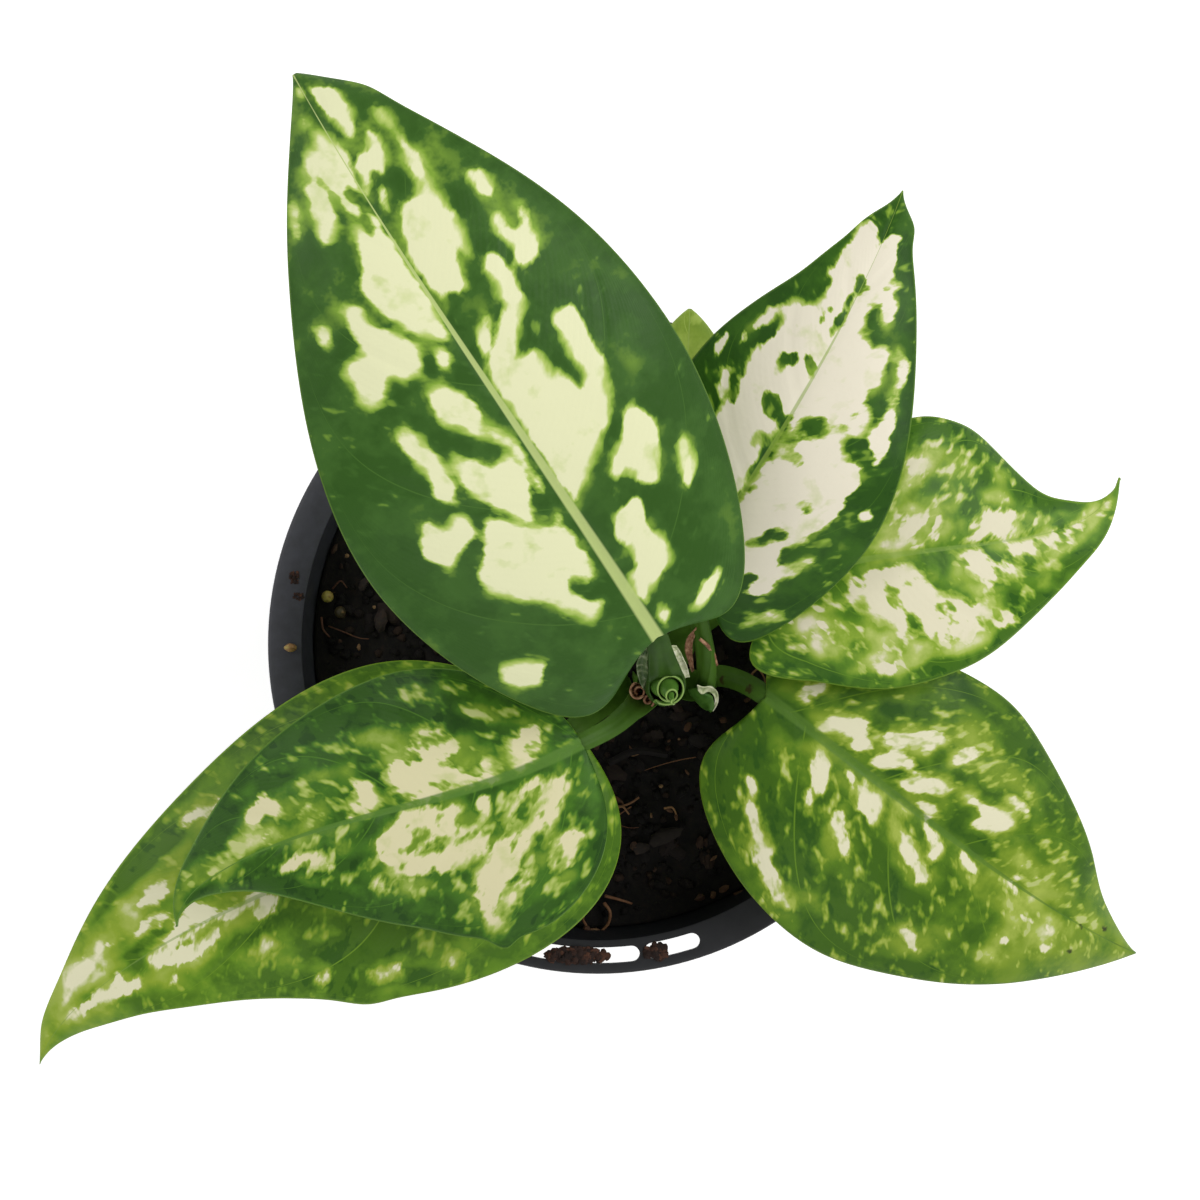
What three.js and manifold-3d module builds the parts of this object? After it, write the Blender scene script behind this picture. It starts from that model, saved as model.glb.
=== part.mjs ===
// Potted Chinese evergreen: a young cream and green Aglaonema in a round nursery pot.
// Millimetres, +Z up. The origin is the centre of the pot's underside.
import * as THREE from 'three';
import { mergeVertices } from 'three/addons/utils/BufferGeometryUtils.js';
import Module from 'manifold-3d';

const wasm = await Module();
wasm.setup();

// ---------------------------------------------------------------- driving dimensions

const GAP = 0.3;                        // clear space between pieces that touch

const POT = {
  rimRadius: 75,
  height: 115,
  mouthRadius: 67.1,                    // inside, at the top
  wall: 1.3,
  flange: 1.6,                          // thickness of the flat rim
  lipDrop: 5.5,                         // how far the rim's outer lip turns down
  lipWall: 1.4,
  shoulder: 88,                         // height of the step below the collar
  footRadius: 49.8,
  floor: 3.2,                           // top of the floor plate
  recess: 1.6,                          // hollow between the centre pad and the foot ring
  sides: 52,
};
const RIM_SLOTS = { inner: 68.9, outer: 72.6, length: 12.9, rib: 1.1, count: 3, middles: [-87.5, 92.5] };
const DRAIN_HOLES = { radius: 3.5, circle: 33, count: 8 };

const SOIL = { level: 103, mound: 2.5, gap: 0.45, rings: 9, sides: 48 };
const CANE = { x: 13.5, y: -7.4, bottom: 84.3, radius: 4.6, neck: 3.1, shoulder: 111, top: 124.2 };
const CANE_HOLE = { radius: 8.3, floor: 84, height: 60 };
const SPEAR = { foot: [13.5, -7.4, 124.6], tip: [15.3, -9.6, 167], radius: 3.3, roll: 0.16 };

const BLADE = { thickness: 0.8, rows: 18, columns: 8, fold: 0.12, arch: 0.28, sweep: 0.5 };
const STALK = { petiole: [1.35, 95, 2.6], ringsPerSpan: 2, arcSteps: 8 };

// A leaf's blade: base is where it joins the stalk. Bearing and rise are the midrib's angles in degrees
// at its base, middle and tip. Pairs are left and right of the midrib: half widths in mm, rounding of
// the base, taper to the tip, and how far the base lobes reach back as a share of the length.
// curl: from which share of the length the tip turns aside, and by how many degrees.
// wave: height of the margin's waves left and right in mm, their number and their start.
// Its stalk: sheath = [bearing, mid radius, half angle, bottom, top], a part tube round the cane's axis,
// then stations [x, y, z, bearing, mid radius, half angle, wall] of an open channel up to the blade.
const LEAVES = {
  leaf_1: {
    base: [12.2, 2.4, 172], length: 142, half: [41.5, 36.5],
    bearing: [123, 124, 119], rise: [36, 12, -28], curl: [0.85, 0],
    rounding: [0.52, 0.48], taper: [1.18, 0.8], lobe: [0.11, 0.08], wave: [1.2, 1.0, 2.6, 0.1],
    sheath: [98, 4.4, 145, 112.5, 148],
    stations: [
      [14.5, -7.6, 155, 98, 4.3, 112, 1.1],
      [13.9, -4.4, 161.5, 100, 2.9, 88, 1.7],
      [13.0, -0.6, 167.5, 110, 1.7, 92, 2.5],
    ],
  },
  leaf_2: {
    base: [19.6, 14.7, 154], length: 97, half: [23.5, 28.5],
    bearing: [59, 60, 69], rise: [28, 5, -28], curl: [0.85, 0],
    rounding: [0.63, 0.48], taper: [1.23, 1.2], lobe: [0.06, 0.13], wave: [0.8, 1.2, 2.2, 0.4],
    sheath: [-13, 5.9, 50, 100, 121],
    stations: [
      [22.3, -9.2, 130.0, -5, 3.2, 90, 1.2],
      [23.3, -5.2, 137.5, 20, 2.8, 100, 1.5],
      [22.6, 1.2, 144, 48, 1.9, 98, 2.2],
      [21.0, 8.0, 149.2, 58, 1.4, 95, 2.6],
    ],
  },
  leaf_3: {
    base: [38.1, 13.6, 147], length: 88, half: [29, 28.5],
    bearing: [21, 7, 31], rise: [10, -16, -26], curl: [0.7, 35],
    rounding: [1.79, 0.55], taper: [2.51, 1.36], lobe: [0.06, 0.17], wave: [1.8, 1.0, 2.4, 0.2],
    sheath: [48, 7.3, 33, 98, 108],
    stations: [
      [20.2, 1.8, 117.5, 44, 2.4, 90, 1.7],
      [26.4, 7.2, 128.5, 40, 1.5, 95, 2.6],
      [32.6, 11.2, 139.0, 30, 1.35, 95, 2.6],
    ],
  },
  leaf_4: {
    base: [36.9, -11, 136], length: 120, half: [32.5, 38],
    bearing: [-37, -36, -25], rise: [4, -22, -42], curl: [0.85, 0],
    rounding: [0.78, 0.46], taper: [1.41, 1.02], lobe: [0.07, 0.06], wave: [1.6, 1.2, 2.3, 0.6],
    sheath: [-29, 7.3, 27, 98, 107],
    stations: [
      [23.4, -9.0, 113.6, -20, 2.0, 80, 1.8],
      [26.4, -7.0, 122.0, -14, 1.5, 95, 2.6],
      [31.2, -7.8, 129.8, -24, 1.4, 95, 2.6],
    ],
  },
  leaf_5: {
    base: [-3.5, -20.4, 154], length: 105, half: [32.5, 28],
    bearing: [209, 196, 230], rise: [12, -12, -28], curl: [0.85, 33],
    rounding: [0.51, 0.7], taper: [1.7, 1.3], lobe: [0.01, 0.02], wave: [1.2, 1.4, 2.5, 0.7],
    sheath: [216, 5.9, 72, 100, 132],
    stations: [
      [7.6, -13.6, 143.2, 212, 2.4, 86, 2.0],
      [2.6, -17.4, 149.4, 208, 1.6, 94, 2.6],
    ],
  },
  leaf_6: {
    base: [-5.5, -18.3, 131], length: 156, half: [38, 37.5],
    bearing: [219, 205, 236], rise: [6, -10, -34], curl: [0.85, 13],
    rounding: [0.38, 0.6], taper: [1.42, 1.39], lobe: [0, 0], wave: [1.4, 1.2, 2.8, 0.3],
    sheath: [205, 7.4, 50, 98, 106],
    stations: [
      [2.2, -13.2, 116.5, 208, 2.0, 86, 2.2],
      [-1.4, -15.6, 124.6, 212, 1.4, 95, 2.6],
    ],
  },
  leaf_7: {
    base: [12, 12, 128], length: 66, half: [16, 17],
    bearing: [78, 82, 88], rise: [16, -4, -30], curl: [0.85, 0],
    rounding: [0.5, 0.5], taper: [0.8, 0.8], lobe: [0.05, 0.05], wave: [0.6, 0.6, 1.8, 0.2],
    sheath: [118, 7.3, 18, 98, 106.5],
    stations: [
      [10.2, 3.6, 115.0, 102, 1.8, 82, 2.0],
      [11.8, 8.2, 122.8, 84, 1.4, 95, 2.4],
    ],
  },
};

// Loose bits on the mix and the rim: fertiliser grains, and a twig that lies on the mix.
const LIE = 0.9;                        // how far they lie above the mix's formula, clear of its facets
const GRAIN_RADIUS = 1.5;
const GRAINS = { grain_1: [-62.3, 10.8], grain_2: [-59.4, 7.2], grain_3: [-69.6, -0.8] };
const TWIG = { from: [2.5, -27.5], middle: [8.5, -24.8], to: [16, -25.6], radius: 0.9 };
const BARK = { count: 16, size: [1.8, 3.6], reach: 60, seed: 41 };

// ---------------------------------------------------------------- small helpers

const radians = THREE.MathUtils.degToRad;
const mix = THREE.MathUtils.lerp;
const vector = (p) => new THREE.Vector3(...p);
const heading = (degrees) => new THREE.Vector3(Math.cos(radians(degrees)), Math.sin(radians(degrees)), 0);

// Repeatable random numbers from 0 to 1.
function dice(seed) {
  let state = seed;
  return () => {
    state = (state * 16807) % 2147483647;
    return state / 2147483647;
  };
}

// Enclosed volume, negative where the faces point inwards.
function volumeOf(points, faces) {
  const normal = new THREE.Vector3();
  return faces.reduce((sum, [a, b, c]) => sum + points[a].dot(normal.crossVectors(points[b], points[c])), 0);
}

function closedGeometry(points, faces) {
  const outward = volumeOf(points, faces) > 0 ? faces : faces.map(([a, b, c]) => [a, c, b]);
  const geometry = new THREE.BufferGeometry();
  geometry.setAttribute('position', new THREE.Float32BufferAttribute(points.flatMap((p) => p.toArray()), 3));
  geometry.setIndex(outward.flat());
  return geometry;
}

function toManifold(source) {
  const geometry = source.clone();
  geometry.deleteAttribute('normal');
  geometry.deleteAttribute('uv');
  const welded = mergeVertices(geometry, 1e-4);
  return new wasm.Manifold(new wasm.Mesh({
    numProp: 3,
    vertProperties: new Float32Array(welded.attributes.position.array),
    triVerts: new Uint32Array(welded.index.array),
  }));
}

function toGeometry(manifold) {
  const { vertProperties, triVerts } = manifold.getMesh();
  const geometry = new THREE.BufferGeometry();
  geometry.setAttribute('position', new THREE.BufferAttribute(new Float32Array(vertProperties), 3));
  geometry.setIndex(new THREE.BufferAttribute(new Uint32Array(triVerts), 1));
  return geometry;
}

// A lathe stands along Y in three.js: this turns it to stand along Z.
function turned(profile, sides) {
  const outline = profile.map(([r, z]) => new THREE.Vector2(r, z));
  return new THREE.LatheGeometry(outline, sides).rotateX(Math.PI / 2);
}

// Rings of equally many points, joined into one closed body. An open channel's ends are closed by a
// strip between its outer and inner points, a full section's ends by a fan.
function loft(rings, channel) {
  const size = rings[0].length;
  const points = rings.flat();
  const faces = [];
  for (let i = 0; i < rings.length - 1; i++) {
    for (let j = 0; j < size; j++) {
      const a = i * size + j;
      const b = i * size + (j + 1) % size;
      faces.push([a, b, b + size], [a, b + size, a + size]);
    }
  }
  const last = (rings.length - 1) * size;
  for (let j = 0; channel && j < size / 2 - 1; j++) {
    const [a, b, c, d] = [j, j + 1, size - 2 - j, size - 1 - j];
    faces.push([a, d, c], [a, c, b]);
    faces.push([last + a, last + c, last + d], [last + a, last + b, last + c]);
  }
  for (let j = 1; !channel && j < size - 1; j++) {
    faces.push([0, j + 1, j], [last, last + j, last + j + 1]);
  }
  return closedGeometry(points, faces);
}

// ---------------------------------------------------------------- leaf blades

// The value at s of the parabola through three values at s = 0, 0.5 and 1.
function parabola([start, middle, end], s) {
  return start * (1 - s) * (1 - 2 * s) + 4 * middle * s * (1 - s) + end * s * (2 * s - 1);
}

// The midrib: points and directions at every hundredth of its length, from a little behind the base.
function midrib(leaf) {
  const [behind, ahead] = [-20, 100];
  const frames = [];
  for (let i = behind; i <= ahead; i++) {
    const s = Math.max(0, i / 100);
    const curled = Math.max(0, (s - leaf.curl[0]) / (1 - leaf.curl[0])) ** 1.5;
    const bearing = parabola(leaf.bearing, s) + leaf.curl[1] * curled;
    const rise = radians(parabola(leaf.rise, s));
    const along = heading(bearing).multiplyScalar(Math.cos(rise)).setZ(Math.sin(rise));
    const side = heading(bearing - 90);
    const up = new THREE.Vector3().crossVectors(side, along);
    const point = new THREE.Vector3();
    if (frames.length > 0) {
      const before = frames[frames.length - 1];
      point.copy(before.along).add(along).multiplyScalar(leaf.length / 200).add(before.point);
    }
    frames.push({ point, along, side, up, bearing });
  }
  const shift = vector(leaf.base).sub(frames[-behind].point);
  frames.forEach((frame) => frame.point.add(shift));
  return (s) => {
    const place = THREE.MathUtils.clamp(s * 100 - behind, 0, frames.length - 1.001);
    const [low, share] = [Math.floor(place), place % 1];
    const [a, b] = [frames[low], frames[low + 1]];
    return {
      point: a.point.clone().lerp(b.point, share),
      side: a.side.clone().lerp(b.side, share),
      up: a.up.clone().lerp(b.up, share),
      bearing: mix(a.bearing, b.bearing, share),
    };
  };
}

// The point of the blade's middle surface at vein t (0 base, 1 tip) and v (-1 left margin, 1 right).
// Lateral veins sweep forward, so the margin is reached further along than the vein starts.
function bladePoint(leaf, rib, t, v) {
  const hand = v < 0 ? 0 : 1;
  const away = Math.abs(v);
  const reach = t + BLADE.sweep * t * (1 - t) ** 1.3;
  const [round, taper] = [leaf.rounding[hand], leaf.taper[hand]];
  const widest = round / (round + taper);
  const peak = widest ** round * (1 - widest) ** taper;
  const width = leaf.half[hand] * reach ** round * (1 - reach) ** taper / peak;
  const near = Math.exp(-reach / 0.07);
  const margin = reach - leaf.lobe[hand] * 4 * near * (1 - near);
  const place = rib(t + (margin - t) * away ** 1.6);
  const [, , waves, start] = leaf.wave;
  const ends = Math.min(1, 4 * reach, 4 * (1 - reach));
  const wave = leaf.wave[hand] * away ** 2.2 * Math.sin(2 * Math.PI * (waves * reach + start)) * ends;
  const height = width * (BLADE.fold * away - BLADE.arch * away ** 2) + wave;
  return place.point.addScaledVector(place.side, width * v).addScaledVector(place.up, height);
}

// The blade as a thin closed body: two faces split into triangles alike, and an edge all round.
function blade(leaf, rib) {
  const { rows, columns, thickness } = BLADE;
  const surface = (u, v) => {
    const t = 0.98 * u ** 1.35 + 0.02 * u;
    return bladePoint(leaf, rib, t, v);
  };
  const points = [];
  const addPair = (point, normal) => {
    points.push(point.clone().addScaledVector(normal, thickness / 2));
    points.push(point.clone().addScaledVector(normal, -thickness / 2));
  };
  addPair(rib(0).point, rib(0).up);
  const [du, dv] = [0.01, 0.04];
  for (let i = 1; i < rows; i++) {
    for (let j = 0; j <= columns; j++) {
      const [u, v] = [i / rows, -1 + 2 * j / columns];
      const [v0, v1] = [Math.max(-1, v - dv), Math.min(1, v + dv)];
      const lengthwise = surface(u + du, v).sub(surface(u - du, v));
      const crosswise = surface(u, v1).sub(surface(u, v0));
      addPair(surface(u, v), crosswise.cross(lengthwise).normalize());
    }
  }
  addPair(rib(1).point, rib(1).up);

  const index = (i, j) => 2 * (1 + (i - 1) * (columns + 1) + j);
  const tip = points.length - 2;
  const faces = [];
  const bothFaces = (a, b, c) => faces.push([a, b, c], [a + 1, c + 1, b + 1]);
  const edge = (a, b) => faces.push([a, b + 1, a + 1], [a, b, b + 1]);
  for (let j = 0; j < columns; j++) {
    bothFaces(0, index(1, j), index(1, j + 1));
    bothFaces(tip, index(rows - 1, j + 1), index(rows - 1, j));
    for (let i = 1; i < rows - 1; i++) {
      bothFaces(index(i, j), index(i + 1, j), index(i + 1, j + 1));
      bothFaces(index(i, j), index(i + 1, j + 1), index(i, j + 1));
    }
  }
  edge(0, index(1, columns));
  edge(index(1, 0), 0);
  for (let i = 1; i < rows - 1; i++) {
    edge(index(i, columns), index(i + 1, columns));
    edge(index(i + 1, 0), index(i, 0));
  }
  edge(index(rows - 1, columns), tip);
  edge(tip, index(rows - 1, 0));
  return closedGeometry(points, faces);
}

// ---------------------------------------------------------------- leaf stalks

// The point at height z of the line that the sheaths wrap: the cane's axis, and above it the rolled leaf's.
function shootAxis(z) {
  const lean = Math.max(0, z - CANE.top) / (SPEAR.tip[2] - CANE.top);
  return [mix(CANE.x, SPEAR.tip[0], lean), mix(CANE.y, SPEAR.tip[1], lean), z];
}

// One open channel section: an arc of a given mid radius, half angle and wall round its centre, its
// back towards the leaf's underside and its wall thinner towards the edges.
function channelRing(centre, along, bearing, radius, halfAngle, wall) {
  const side = heading(bearing - 90);
  side.addScaledVector(along, -side.dot(along)).normalize();
  const back = new THREE.Vector3().crossVectors(along, side);
  const outer = [];
  const inner = [];
  for (let i = 0; i <= STALK.arcSteps; i++) {
    const share = -1 + 2 * i / STALK.arcSteps;
    const angle = radians(halfAngle) * share;
    const half = wall / 2 * (1 - 0.35 * share ** 2);
    const direction = back.clone().multiplyScalar(Math.cos(angle)).addScaledVector(side, Math.sin(angle));
    outer.push(centre.clone().addScaledVector(direction, radius + half));
    inner.unshift(centre.clone().addScaledVector(direction, Math.max(0.05, radius - half)));
  }
  return [...outer, ...inner];
}

// Sheath, petiole and the raised midrib below the blade, as one tapering channel. The sheath is straight
// and its sections level, so that it fits round the cane. From there on they follow a smooth path.
function stalk(leaf, rib) {
  const [bearing, radius, halfAngle, bottom, top] = leaf.sheath;
  const sheath = [bottom, top - 4, top];
  const stations = sheath.map((z) => [...shootAxis(z), bearing, radius, halfAngle, 1.0]);
  stations.push(...leaf.stations);
  const keel = [[0, ...STALK.petiole], [0.1, 1.05, 90, 2.0], [0.3, 0.65, 85, 1.3], [0.6, 0.35, 80, 0.7]];
  for (const [s, ...section] of keel) {
    const place = rib(s);
    stations.push([...place.point.toArray(), place.bearing, ...section]);
  }
  const path = new THREE.CatmullRomCurve3(stations.map((s) => vector(s)), false, 'centripetal');
  const spans = stations.length - 1;
  const rings = [];
  for (let i = 0; i <= spans * STALK.ringsPerSpan; i++) {
    const place = i / STALK.ringsPerSpan;
    const low = Math.min(spans - 1, Math.floor(place));
    const share = place - low;
    const section = stations[low].slice(3).map((value, k) => mix(value, stations[low + 1][k + 3], share));
    const turn = THREE.MathUtils.clamp(place - sheath.length + 1, 0, 1);
    const along = new THREE.Vector3(0, 0, 1).lerp(path.getTangent(place / spans), turn).normalize();
    const straight = vector(stations[low]).lerp(vector(stations[low + 1]), share);
    rings.push(channelRing(turn > 0 ? path.getPoint(place / spans) : straight, along, ...section));
  }
  return loft(rings, true);
}

function leafSolid(leaf) {
  const rib = midrib(leaf);
  return toGeometry(toManifold(blade(leaf, rib)).add(toManifold(stalk(leaf, rib))));
}

// ---------------------------------------------------------------- cane and rolled new leaf

function caneSolid() {
  const { bottom, radius, neck, shoulder, top } = CANE;
  const profile = [[0, bottom], [radius - 0.4, bottom], [radius, bottom + 1.5]];
  for (const ringScar of [98, 104.5]) {
    profile.push([radius, ringScar - 0.9], [radius + 0.3, ringScar], [radius, ringScar + 0.9]);
  }
  profile.push([radius, shoulder - 0.8], [neck, shoulder + 0.4], [neck - 0.1, top - 0.8], [0, top]);
  return turned(profile, 20).translate(CANE.x, CANE.y, 0);
}

// The new leaf is still rolled up: each section is a spiral with a step where its outer margin lies.
function spearSolid() {
  const [foot, tip] = [vector(SPEAR.foot), vector(SPEAR.tip)];
  const along = tip.clone().sub(foot).normalize();
  const east = new THREE.Vector3(1, 0, 0).addScaledVector(along, -along.x).normalize();
  const north = new THREE.Vector3().crossVectors(along, east);
  const shape = [[0, 0.86], [0.25, 1], [0.55, 0.98], [0.72, 0.86], [0.86, 0.66], [0.95, 0.4], [1, 0.1]];
  const steps = 14;
  const rings = shape.map(([share, width]) => {
    const centre = foot.clone().lerp(tip, share);
    const ring = [];
    for (let i = 0; i <= steps; i++) {
      const angle = 2 * Math.PI * i / (steps + 0.4) + 4.4 + 1.2 * share;
      const r = SPEAR.radius * width * (1 - SPEAR.roll * i / steps);
      const outward = east.clone().multiplyScalar(Math.cos(angle)).addScaledVector(north, Math.sin(angle));
      ring.push(centre.clone().addScaledVector(outward, r));
    }
    return ring;
  });
  return loft(rings, false);
}

// ---------------------------------------------------------------- pot

// The wall's inner line, from the floor up to the rim.
const INNER_LINE = [
  [48.4, POT.floor],
  [59.0, POT.shoulder - 3],
  [64.9, POT.shoulder + 1.6],
  [POT.mouthRadius, POT.height - 0.7],
];

function potSolid() {
  const { rimRadius, height, mouthRadius, wall, flange, lipDrop, lipWall, recess, footRadius, floor } = POT;
  const collarOuter = mouthRadius + wall;
  const [, shoulderLow, shoulderHigh] = INNER_LINE;
  const profile = [
    [0, 0], [10, 0], [11, recess], [41.5, recess], [43, 0], [footRadius - 1.2, 0], [footRadius, 1],
    [shoulderLow[0] + wall, shoulderLow[1] - 1], [shoulderHigh[0] + wall, shoulderHigh[1] - 1.2],
    [collarOuter, height - flange], [rimRadius - lipWall, height - flange],
    [rimRadius - lipWall, height - lipDrop], [rimRadius, height - lipDrop],
    [rimRadius, height - 0.7], [rimRadius - 0.7, height], [mouthRadius + 0.7, height],
    ...INNER_LINE.toReversed(), [0, floor],
  ];
  let pot = toManifold(turned(profile, POT.sides));
  for (const cutter of [...rimSlotCutters(), ...drainCutters()]) {
    pot = pot.subtract(toManifold(cutter));
  }
  return toGeometry(pot);
}

// Curved slots through the flat rim, in two groups on opposite sides.
function rimSlotCutters() {
  const { inner, outer, length, rib, count, middles } = RIM_SLOTS;
  const middleRadius = (inner + outer) / 2;
  const corner = (outer - inner) / 2 / middleRadius;
  const half = length / 2 / middleRadius - corner;
  const pitch = (length + rib) / middleRadius;
  const cutters = [];
  for (const middle of middles) {
    for (let i = 0; i < count; i++) {
      const angle = radians(middle) + (i - (count - 1) / 2) * pitch;
      const outline = new THREE.Shape();
      outline.absarc(0, 0, outer, angle - half, angle + half, false);
      const end = angle + half;
      outline.absarc(middleRadius * Math.cos(end), middleRadius * Math.sin(end), (outer - inner) / 2,
        end, end + Math.PI, false);
      outline.absarc(0, 0, inner, angle + half, angle - half, true);
      const start = angle - half;
      outline.absarc(middleRadius * Math.cos(start), middleRadius * Math.sin(start), (outer - inner) / 2,
        start + Math.PI, start + 2 * Math.PI, false);
      const slot = new THREE.ExtrudeGeometry(outline, { depth: 4, bevelEnabled: false, curveSegments: 4 });
      cutters.push(slot.translate(0, 0, POT.height - 3));
    }
  }
  return cutters;
}

function drainCutters() {
  const { radius, circle, count } = DRAIN_HOLES;
  return Array.from({ length: count }, (_, i) => {
    const centre = heading(360 * i / count + 22.5).multiplyScalar(circle);
    const hole = new THREE.CylinderGeometry(radius, radius, 4 * POT.floor, 12).rotateX(Math.PI / 2);
    return hole.translate(centre.x, centre.y, 0);
  });
}

// ---------------------------------------------------------------- potting mix and what lies on it

// Height of the mix at x, y: a low mound with small waves that die out at the pot's wall.
function soilHeight(x, y) {
  const share = Math.min(1, Math.hypot(x, y) / (POT.mouthRadius - 1));
  const waves = 0.9 * Math.sin(0.21 * x + 1.3) * Math.sin(0.19 * y + 0.4)
    + 0.6 * Math.sin(0.27 * x - 0.22 * y + 2.1) + 0.35 * Math.sin(0.31 * x + 0.36 * y + 0.7);
  return SOIL.level + SOIL.mound * (1 - share ** 2) + waves * (1 - share ** 6);
}

function soilSolid() {
  const { gap, level, rings, sides } = SOIL;
  const [low, shoulderLow, shoulderHigh, mouth] = INNER_LINE;
  const slope = (mouth[0] - shoulderHigh[0]) / (mouth[1] - shoulderHigh[1]);
  const edge = shoulderHigh[0] + slope * (level - shoulderHigh[1]) - gap;
  const profile = [
    [0, low[1] + gap], [low[0] - gap, low[1] + gap], [shoulderLow[0] - gap, shoulderLow[1] + gap],
    [shoulderHigh[0] - gap, shoulderHigh[1] + gap],
  ];
  for (let i = rings; i >= 0; i--) {
    profile.push([edge * i / rings, level]);
  }
  const body = turned(profile, sides);
  const position = body.attributes.position;
  for (let i = 0; i < position.count; i++) {
    if (position.getZ(i) > level - 0.01) {
      position.setZ(i, soilHeight(position.getX(i), position.getY(i)));
    }
  }
  const { radius, floor, height } = CANE_HOLE;
  const hole = new THREE.CylinderGeometry(radius, radius, height, 28).rotateX(Math.PI / 2);
  hole.translate(CANE.x, CANE.y, floor + height / 2);
  let soil = toManifold(body);
  for (const chip of barkChips()) {
    soil = soil.add(chip);
  }
  return toGeometry(soil.subtract(toManifold(hole)));
}

// Chips of bark, half sunk in the mix, from a seeded draw that keeps clear of the cane's hole.
function barkChips() {
  const draw = dice(BARK.seed);
  const chips = [];
  while (chips.length < BARK.count) {
    const angle = 360 * draw();
    const { x, y } = heading(angle).multiplyScalar(BARK.reach * Math.sqrt(draw()));
    const size = mix(BARK.size[0], BARK.size[1], draw());
    if (Math.hypot(x - CANE.x, y - CANE.y) < CANE_HOLE.radius + size) continue;
    const chip = new THREE.IcosahedronGeometry(1, 0).scale(size, 0.6 * size, 0.5 * size);
    chip.rotateZ(Math.PI * draw()).translate(x, y, soilHeight(x, y));
    chips.push(toManifold(chip));
  }
  return chips;
}

function grainSolid() {
  return new THREE.IcosahedronGeometry(GRAIN_RADIUS, 1);
}

function grainHeight([x, y]) {
  const onRim = Math.hypot(x, y) > POT.mouthRadius;
  return GRAIN_RADIUS + (onRim ? POT.height + GAP : soilHeight(x, y) + LIE);
}

function twigSolid() {
  const { from, middle, to, radius } = TWIG;
  const route = [from, middle, to].map(([x, y]) => new THREE.Vector3(x, y, soilHeight(x, y) + radius + LIE));
  const section = new THREE.Shape();
  section.absarc(0, 0, radius, 0, 2 * Math.PI, false);
  return new THREE.ExtrudeGeometry(section, {
    steps: 8, curveSegments: 3, bevelEnabled: false, extrudePath: new THREE.CatmullRomCurve3(route),
  });
}

// ---------------------------------------------------------------- the plant in its pot

const finish = (color, roughness) => new THREE.MeshStandardMaterial({ color, roughness, metalness: 0 });
const MATERIALS = {
  pot: finish(0x2b2c30, 0.55),
  soil: finish(0x17120f, 0.95),
  cane: finish(0x5f7a3c, 0.6),
  leaf: finish(0x557f36, 0.45),
  newLeaf: finish(0x7fa653, 0.4),
  grain: finish(0xb9a35a, 0.6),
  twig: finish(0x6e4327, 0.85),
};

const plant = new THREE.Group();

function place(name, geometry, material, position = [0, 0, 0]) {
  const mesh = new THREE.Mesh(geometry, material.clone());
  mesh.name = name;
  mesh.position.set(...position);
  plant.add(mesh);
}

place('pot', potSolid(), MATERIALS.pot);
place('soil', soilSolid(), MATERIALS.soil);
place('cane', caneSolid(), MATERIALS.cane);
place('rolled_leaf', spearSolid(), MATERIALS.newLeaf);
for (const [name, leaf] of Object.entries(LEAVES)) {
  place(name, leafSolid(leaf), MATERIALS.leaf);
}
for (const [name, spot] of Object.entries(GRAINS)) {
  place(name, grainSolid(), MATERIALS.grain, [...spot, grainHeight(spot)]);
}
place('twig', twigSolid(), MATERIALS.twig);

export default plant;
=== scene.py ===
"""A young cream and green Chinese evergreen in a round black nursery pot, seen from straight above.

Lengths are millimetres until they reach a mesh. Leaf places are pairs: t runs from the blade's base (0)
to its tip (1) along the vein, and v across, from the left margin (-1) over the midrib to the right (1).
"""

import bpy
import numpy as np
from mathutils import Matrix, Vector


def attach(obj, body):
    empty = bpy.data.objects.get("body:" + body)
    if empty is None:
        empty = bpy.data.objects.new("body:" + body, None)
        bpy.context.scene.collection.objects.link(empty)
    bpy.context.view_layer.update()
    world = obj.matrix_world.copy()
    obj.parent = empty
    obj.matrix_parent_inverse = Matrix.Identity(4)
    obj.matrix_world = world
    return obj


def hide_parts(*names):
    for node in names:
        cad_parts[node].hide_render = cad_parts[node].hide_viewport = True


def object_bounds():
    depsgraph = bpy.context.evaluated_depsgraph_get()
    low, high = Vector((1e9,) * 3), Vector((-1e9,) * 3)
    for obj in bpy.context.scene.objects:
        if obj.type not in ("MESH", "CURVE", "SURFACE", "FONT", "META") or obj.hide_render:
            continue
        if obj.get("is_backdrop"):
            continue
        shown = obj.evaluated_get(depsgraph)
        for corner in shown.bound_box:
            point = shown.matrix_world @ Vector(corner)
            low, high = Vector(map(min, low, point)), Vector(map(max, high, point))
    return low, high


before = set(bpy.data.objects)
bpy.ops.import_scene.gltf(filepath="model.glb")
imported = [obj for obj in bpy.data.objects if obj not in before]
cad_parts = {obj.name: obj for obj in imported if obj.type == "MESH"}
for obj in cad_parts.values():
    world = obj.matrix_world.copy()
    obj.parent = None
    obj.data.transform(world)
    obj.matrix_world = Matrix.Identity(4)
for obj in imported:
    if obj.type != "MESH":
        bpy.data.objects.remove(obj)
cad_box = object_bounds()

MM = 0.001
# The camera looks straight down; its focal length in pixels is that of a square frame this many pixels wide.
CAMERA_AT, FOCAL_PIXELS, FRAME_PIXELS = (0.5, 10.0, 715.0), 2643.0, 1200

# ---------------------------------------------------------------- sizes shared with the solids

POT_HEIGHT, MOUTH_RADIUS = 115.0, 67.1
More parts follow.
